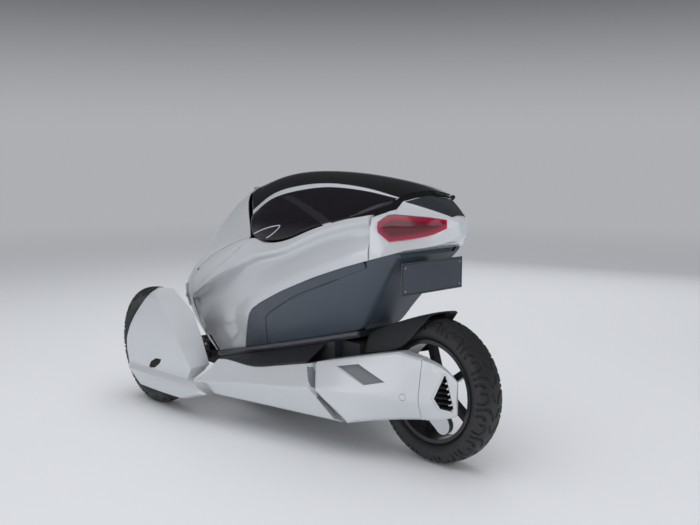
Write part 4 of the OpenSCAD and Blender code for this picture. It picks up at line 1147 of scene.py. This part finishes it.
# %% [markdown]
# ## Trim on the glass and the body
# Thin trims follow the surfaces they sit on: here a white loop round the small quarter light in each
# side glass, and later a seam and the plate's border. Each is a round bead swept along a line of points
# that were first dropped onto the surface, so it can't float. A node tree does the sweep, from a path,
# a bead radius and a finish.

# %% A node tree that sweeps a bead along a path
BEAD_SIDES = 10


def bead_tree():
    """Sweeps a round bead along the incoming line."""
    tree, given = node_tree("bead", Radius="Float")
    path = put(tree, "GeometryNodeMeshToCurve", {"Mesh": given["Geometry"]})
    ring = put(tree, "GeometryNodeCurvePrimitiveCircle", {"Resolution": BEAD_SIDES, "Radius": given["Radius"]})
    sweep = put(tree, "GeometryNodeCurveToMesh",
                {"Curve": path["Curve"], "Profile Curve": ring["Curve"], "Fill Caps": True})
    real = put(tree, "GeometryNodeRealizeInstances", {0: sweep["Mesh"]})
    return painted(tree, given, real[0])


BEAD = bead_tree()


def bead(name, paths, radius, material, body, slot):
    """One piece of round beads swept along one or more lines of points."""
    points, edges = [], []
    for path in paths:
        first = len(points)
        points += path
        edges += [(i, i + 1) for i in range(first, len(points) - 1)]
    piece = drawn(name, points, [], edges=edges)
    grow(piece, BEAD, Radius=radius, Finish=FINISH[material])
    outward(piece)
    shade(piece, 45)
    return fit(piece, body)


def on_left(tree, corners):
    """A smooth line of points through (x, z) corners in millimetres, dropped onto a left face."""
    hits = [left_face(tree, x, z)[0] for x, z in curve_through(corners, 5)]
    return [hit for hit in hits if hit is not None]


def on_right(line):
    """The same line on the car's right side."""
    return [Vector((p.x, -p.y, p.z)) for p in line]


# %% Quarter-light loops on the side glass
QUARTER_TOP = [(141, 955), (94, 971), (42, 987), (-17, 1001), (-66, 1010), (-82, 1011)]
QUARTER_BEAD = 0.0026
QUARTER_FOOT = [(-82, 1011), (-76, 999), (-42, 975), (-6, 955), (18, 945)]

glass_face = outer_surface(skins["side_glass"])
loop = on_left(glass_face, QUARTER_TOP) + on_left(glass_face, QUARTER_FOOT)[1:]
bead("quarter_light_trim", [loop, on_right(loop)], QUARTER_BEAD, "white_paint", "canopy", "white_paint")
print("points in a quarter-light loop:", len(loop))

# %% [markdown]
# ## Painted light in the tail lamps
# A real tail lamp is a clear red shell over a lit bowl: it is brightest along its rim and darkest in the
# middle. Here that light and shade are painted into the colour. The distance of every point from the
# lamp's rim is stored on the mesh, and the finish mixes by it a bright red, a painted highlight, and a
# deep red, painted shade.

# %% Store the rim distance and mix the reds
RIM_REACH = 0.030
# Painted light: a bright red for a painted highlight along the rim, and a deep red for painted shade in the
# middle.
LENS_PAINTED_LIGHT_REDS = [(0.05, (0.42, 0.006, 0.045, 1)), (0.9, (0.10, 0.001, 0.010, 1))]


def rim_distance(piece):
    """Stores each point's distance from the lamp's own outline, and returns the largest."""
    mesh = piece.data
    points = points_of(piece)
    rim = sorted({v for e in mesh.edges if e.use_edge_sharp for v in e.vertices})
    ring = points[rim]
    reach = np.array([np.min(np.linalg.norm(ring - p, axis=1)) for p in points])
    layer = mesh.attributes.new("rim", "FLOAT", "POINT")
    layer.data.foreach_set("value", np.clip(reach / RIM_REACH, 0, 1))
    return reach.max()


def paint_lens_light_and_shade(material):
    """Mixes the lens finish's red by the stored distance: a painted highlight bright at the rim, painted shade
    deep in the middle.
    """
    tree = material.node_tree
    rim = put(tree, "ShaderNodeAttribute", attribute_name="rim")
    give(tree, tree.nodes["Principled BSDF"], {"Base Color": colour_ramp(tree, rim["Fac"], LENS_PAINTED_LIGHT_REDS)})


print("deepest point of a lamp from its rim:", round(rim_distance(skins["tail_lamps"]), 3))
paint_lens_light_and_shade(FINISH["red_lens"])

# %% [markdown]
# ## Seals, notches and fasteners
# The last details are small, but each tells how the car is put together: a grey seal closes the gap
# between the pod and the rear arm, a seam runs round the lower panel, a notch is cut into each front
# fairing, a border and four screws hold the blank plate, and bolts hold the wheel to its hub. The
# seal is a flat band between two lines that were dropped onto the pod.

# %% Grey seal between pod and rear arm, and the panel seam
SEAL_FROM, SEAL_WIDE, SEAL_THICK = -290, 24, 0.0012
BAND_POINTS = 5
EDGE_JUMP = 0.012
SEAM_BEAD = 0.0014
SEAL_HEIGHTS = np.linspace(172, 384, 170)
SEAM = [(-495, 806), (-359, 754), (-231, 703), (-103, 639), (11, 573), (33, 535), (58, 474), (86, 417)]


def flat_band(name, tree, rear, front, thick, material):
    """A thin band on a left face, between two rows of (x, z) corners."""
    points = []
    for a, b in zip(np.array(rear), np.array(front)):
        across = [left_face(tree, *(a + (b - a) * t)) for t in np.linspace(0, 1, BAND_POINTS)]
        if all(hit is not None for hit, _ in across):
            points += [hit + normal * thick for hit, normal in across]
    piece = drawn(name, points, grid_faces(len(points) // BAND_POINTS, BAND_POINTS), material)
    thicken(piece, 2 * thick)
    return piece


def grid_faces(rows, columns, first=0):
    """Four-sided faces between points that lie in rows."""
    return [tuple(first + i * columns + k for k in (j, j + 1, j + columns + 1, j + columns))
            for i in range(rows - 1) for j in range(columns - 1)]


def edge_at(tree, z, x, step):
    """Follows a left face along x at one height to its end, and returns its last point."""
    last = None
    while True:
        hit, _ = left_face(tree, x, z)
        if hit is None or (last is not None and abs(hit.y - last.y) > EDGE_JUMP):
            return last
        last = hit
        x += step


pod_face = outer_surface(skins["pod_left"])
ends = [(edge_at(pod_face, z, SEAL_FROM, -1), z) for z in SEAL_HEIGHTS]
rear_row = [(end.x / MM + 1, z) for end, z in ends if end is not None]
front_row = [(x + SEAL_WIDE, z) for x, z in rear_row]
seal = flat_band("arm_seal", pod_face, rear_row, front_row, SEAL_THICK, "vent_grey")
fit(seal, "body")
seam = on_left(outer_surface(skins["waist_strips"]), SEAM)
bead("panel_seam", [seam, on_right(seam)], SEAM_BEAD, "painted_shade_and_seam_black", "body", "black_trim")
print("seal faces:", len(seal.data.polygons), "seam points:", len(seam))

# %% A notch in each front fairing
# Each notch's cut faces take the near-black finish: painted shade in the recess.
NOTCH = [(806, 201), (771, 243), (716, 270), (664, 272), (684, 246), (742, 213)]
NOTCH_DEPTHS = [1.0, 5.0, 7.0, 7.0, 6.0, 3.0]

notched_face = outer_surface(skins["fairing_left"])
for node, side in (("fairing_left", 1), ("fairing_right", -1)):
    tool = prism("notch", notched_face, NOTCH, NOTCH_DEPTHS, "painted_shade_and_seam_black")
    for point in tool.data.vertices:
        point.co.y *= side
    outward(tool)
    carve(skins[node], tool)
print("fairing faces after carving:", [len(skins[n].data.polygons) for n in ("fairing_left", "fairing_right")])

# %% Border and screws of the plate, and bolts of the rear wheel
BOLT = [(0, 0.0035), (0.0045, 0.0035), (0.0055, 0.002), (0.0055, -0.004)]
BOLT_RING = 0.036
BOLTS = 5
SCREW_INSET = 0.02
BORDER_INSET, BORDER_BEAD = 0.006, 0.0018


def fasteners(name, profile, axis, places, material, body, steps, turns=None):
    """Copies of one lathe-turned head at given places, riding on a body."""
    head = turned(name + "_head", profile, (0, 0, 0), axis, material, steps)
    piece = placed_copies(name, places, head.data, material, turns)
    bpy.data.objects.remove(head)
    outward(piece)
    print(name, len(places))
    return fit(piece, body)


def plate_corners(inset):
    """Corners of a rectangle on the plate's rear face."""
    y0, y1, z0, z1 = low.y + inset, high.y - inset, low.z + inset, high.z - inset
    rays = [Vector((-2.0, y, z)) for y, z in ((y0, z0), (y1, z0), (y1, z1), (y0, z1))]
    return [plate_face.ray_cast(ray, Vector((1, 0, 0)))[0] for ray in rays]


low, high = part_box("number_plate")
plate_face = outer_surface(nodes["number_plate"])
ring = plate_corners(BORDER_INSET)
border = [a.lerp(b, t) for a, b in zip(ring, ring[1:] + ring[:1]) for t in (0, 0.25, 0.5, 0.75)] + ring[:1]
bead("plate_border", [border], BORDER_BEAD, "black_trim", "body", "black_trim")
fasteners("plate_screws", BOLT, (-1, 0, 0), plate_corners(SCREW_INSET), "steel", "body", 6)

low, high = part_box("rear_rim")
hub = (low + high) / 2
rim_face = outer_surface(nodes["rear_rim"])
seats = []
for i in range(BOLTS):
    a = 2 * math.pi * (i + 0.5) / BOLTS
    start = Vector((hub.x + BOLT_RING * math.cos(a), -1.0, hub.z + BOLT_RING * math.sin(a)))
    seats.append(rim_face.ray_cast(start, Vector((0, 1, 0)))[0])
fasteners("hub_bolts", BOLT, (0, -1, 0), seats, "steel", "rear_wheel", 6)

# %% [markdown]
# ## Lamp domes and the strip beside the nose
# Three clear domes sit on each headlamp, placed with the same stack of nodes as the louvres and turned
# to the lamp's face. A narrow strip, set back a little, closes the joint between the nose and each side
# wall; at each height it runs from where the wall ends to where the nose begins. A second short strip
# does the same between the nose and the ridge behind it.

# %% Domes on the headlamps
DOME = [(0, 0.0045), (0.006, 0.0040), (0.0105, 0.0022), (0.0125, -0.003)]
DOME_STEP = 0.034
LAMP_Y = 0.152
LAMP_LOOK = (0.55, 0.83, 0.12)
RAY_OUT = 0.3

lamp_face = outer_surface(nodes["headlamps"])
low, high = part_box("headlamps")
places, turns = [], []
for side in (1, -1):
    look = Vector((LAMP_LOOK[0], LAMP_LOOK[1] * side, LAMP_LOOK[2])).normalized()
    along = Vector((0, 0, 1)).cross(look).normalized()
    middle = Vector(((low.x + high.x) / 2, LAMP_Y * side, (low.z + high.z) / 2))
    for k in (-1, 0, 1):
        hit, normal, _, _ = lamp_face.ray_cast(middle + along * DOME_STEP * k + look * RAY_OUT, -look)
        places.append(hit)
        turns.append(tuple(Vector((0, 0, 1)).rotation_difference(normal).to_euler()))
domes = fasteners("lamp_domes", DOME, (0, 0, 1), places, "lamp_lens", "body", 40, turns)
shade(domes, 35)

# %% A strip that closes the joint beside the nose
STRIP_HEIGHTS = np.linspace(330, 640, 80)
CORNER_HEIGHTS = np.linspace(636, 712, 40)
TUCK = Vector((0.006, 0, 0))
SET_BACK = Vector((0, 0.0025, 0))
STRIP_THICK = 0.0016
# Places on the faces from which the search for their edges starts, in millimetres
WALL_X, NOSE_X = 640, 840
RIDGE_X, BLOCK_X = 760, 870


def bridge(rear_tree, rear_x, front_tree, front_x, heights):
    """Rows of three points, set back a little, across the gap between two left faces."""
    points = []
    for z in heights:
        rear, front = edge_at(rear_tree, z, rear_x, 1), edge_at(front_tree, z, front_x, -1)
        if rear is not None and front is not None and rear.x < front.x:
            a, b = rear - TUCK - SET_BACK, front + TUCK - SET_BACK
            points += [a.lerp(b, t) for t in (0, 0.5, 1)]
    return points


wall_face, nose_face = outer_surface(skins["side_wall_left"]), outer_surface(skins["nose_cowl"])
points, faces = [], []
for strip in (bridge(wall_face, WALL_X, nose_face, NOSE_X, STRIP_HEIGHTS),
              bridge(nose_face, RIDGE_X, nose_face, BLOCK_X, CORNER_HEIGHTS)):
    faces += grid_faces(len(strip) // 3, 3, len(points))
    points += strip
faces += [tuple(len(points) + v for v in reversed(face)) for face in faces]
strips = drawn("nose_strips", points + on_right(points), faces, "white_paint")
thicken(strips, STRIP_THICK)
fit(strips, "body")
print("faces in the nose strips:", len(strips.data.polygons))
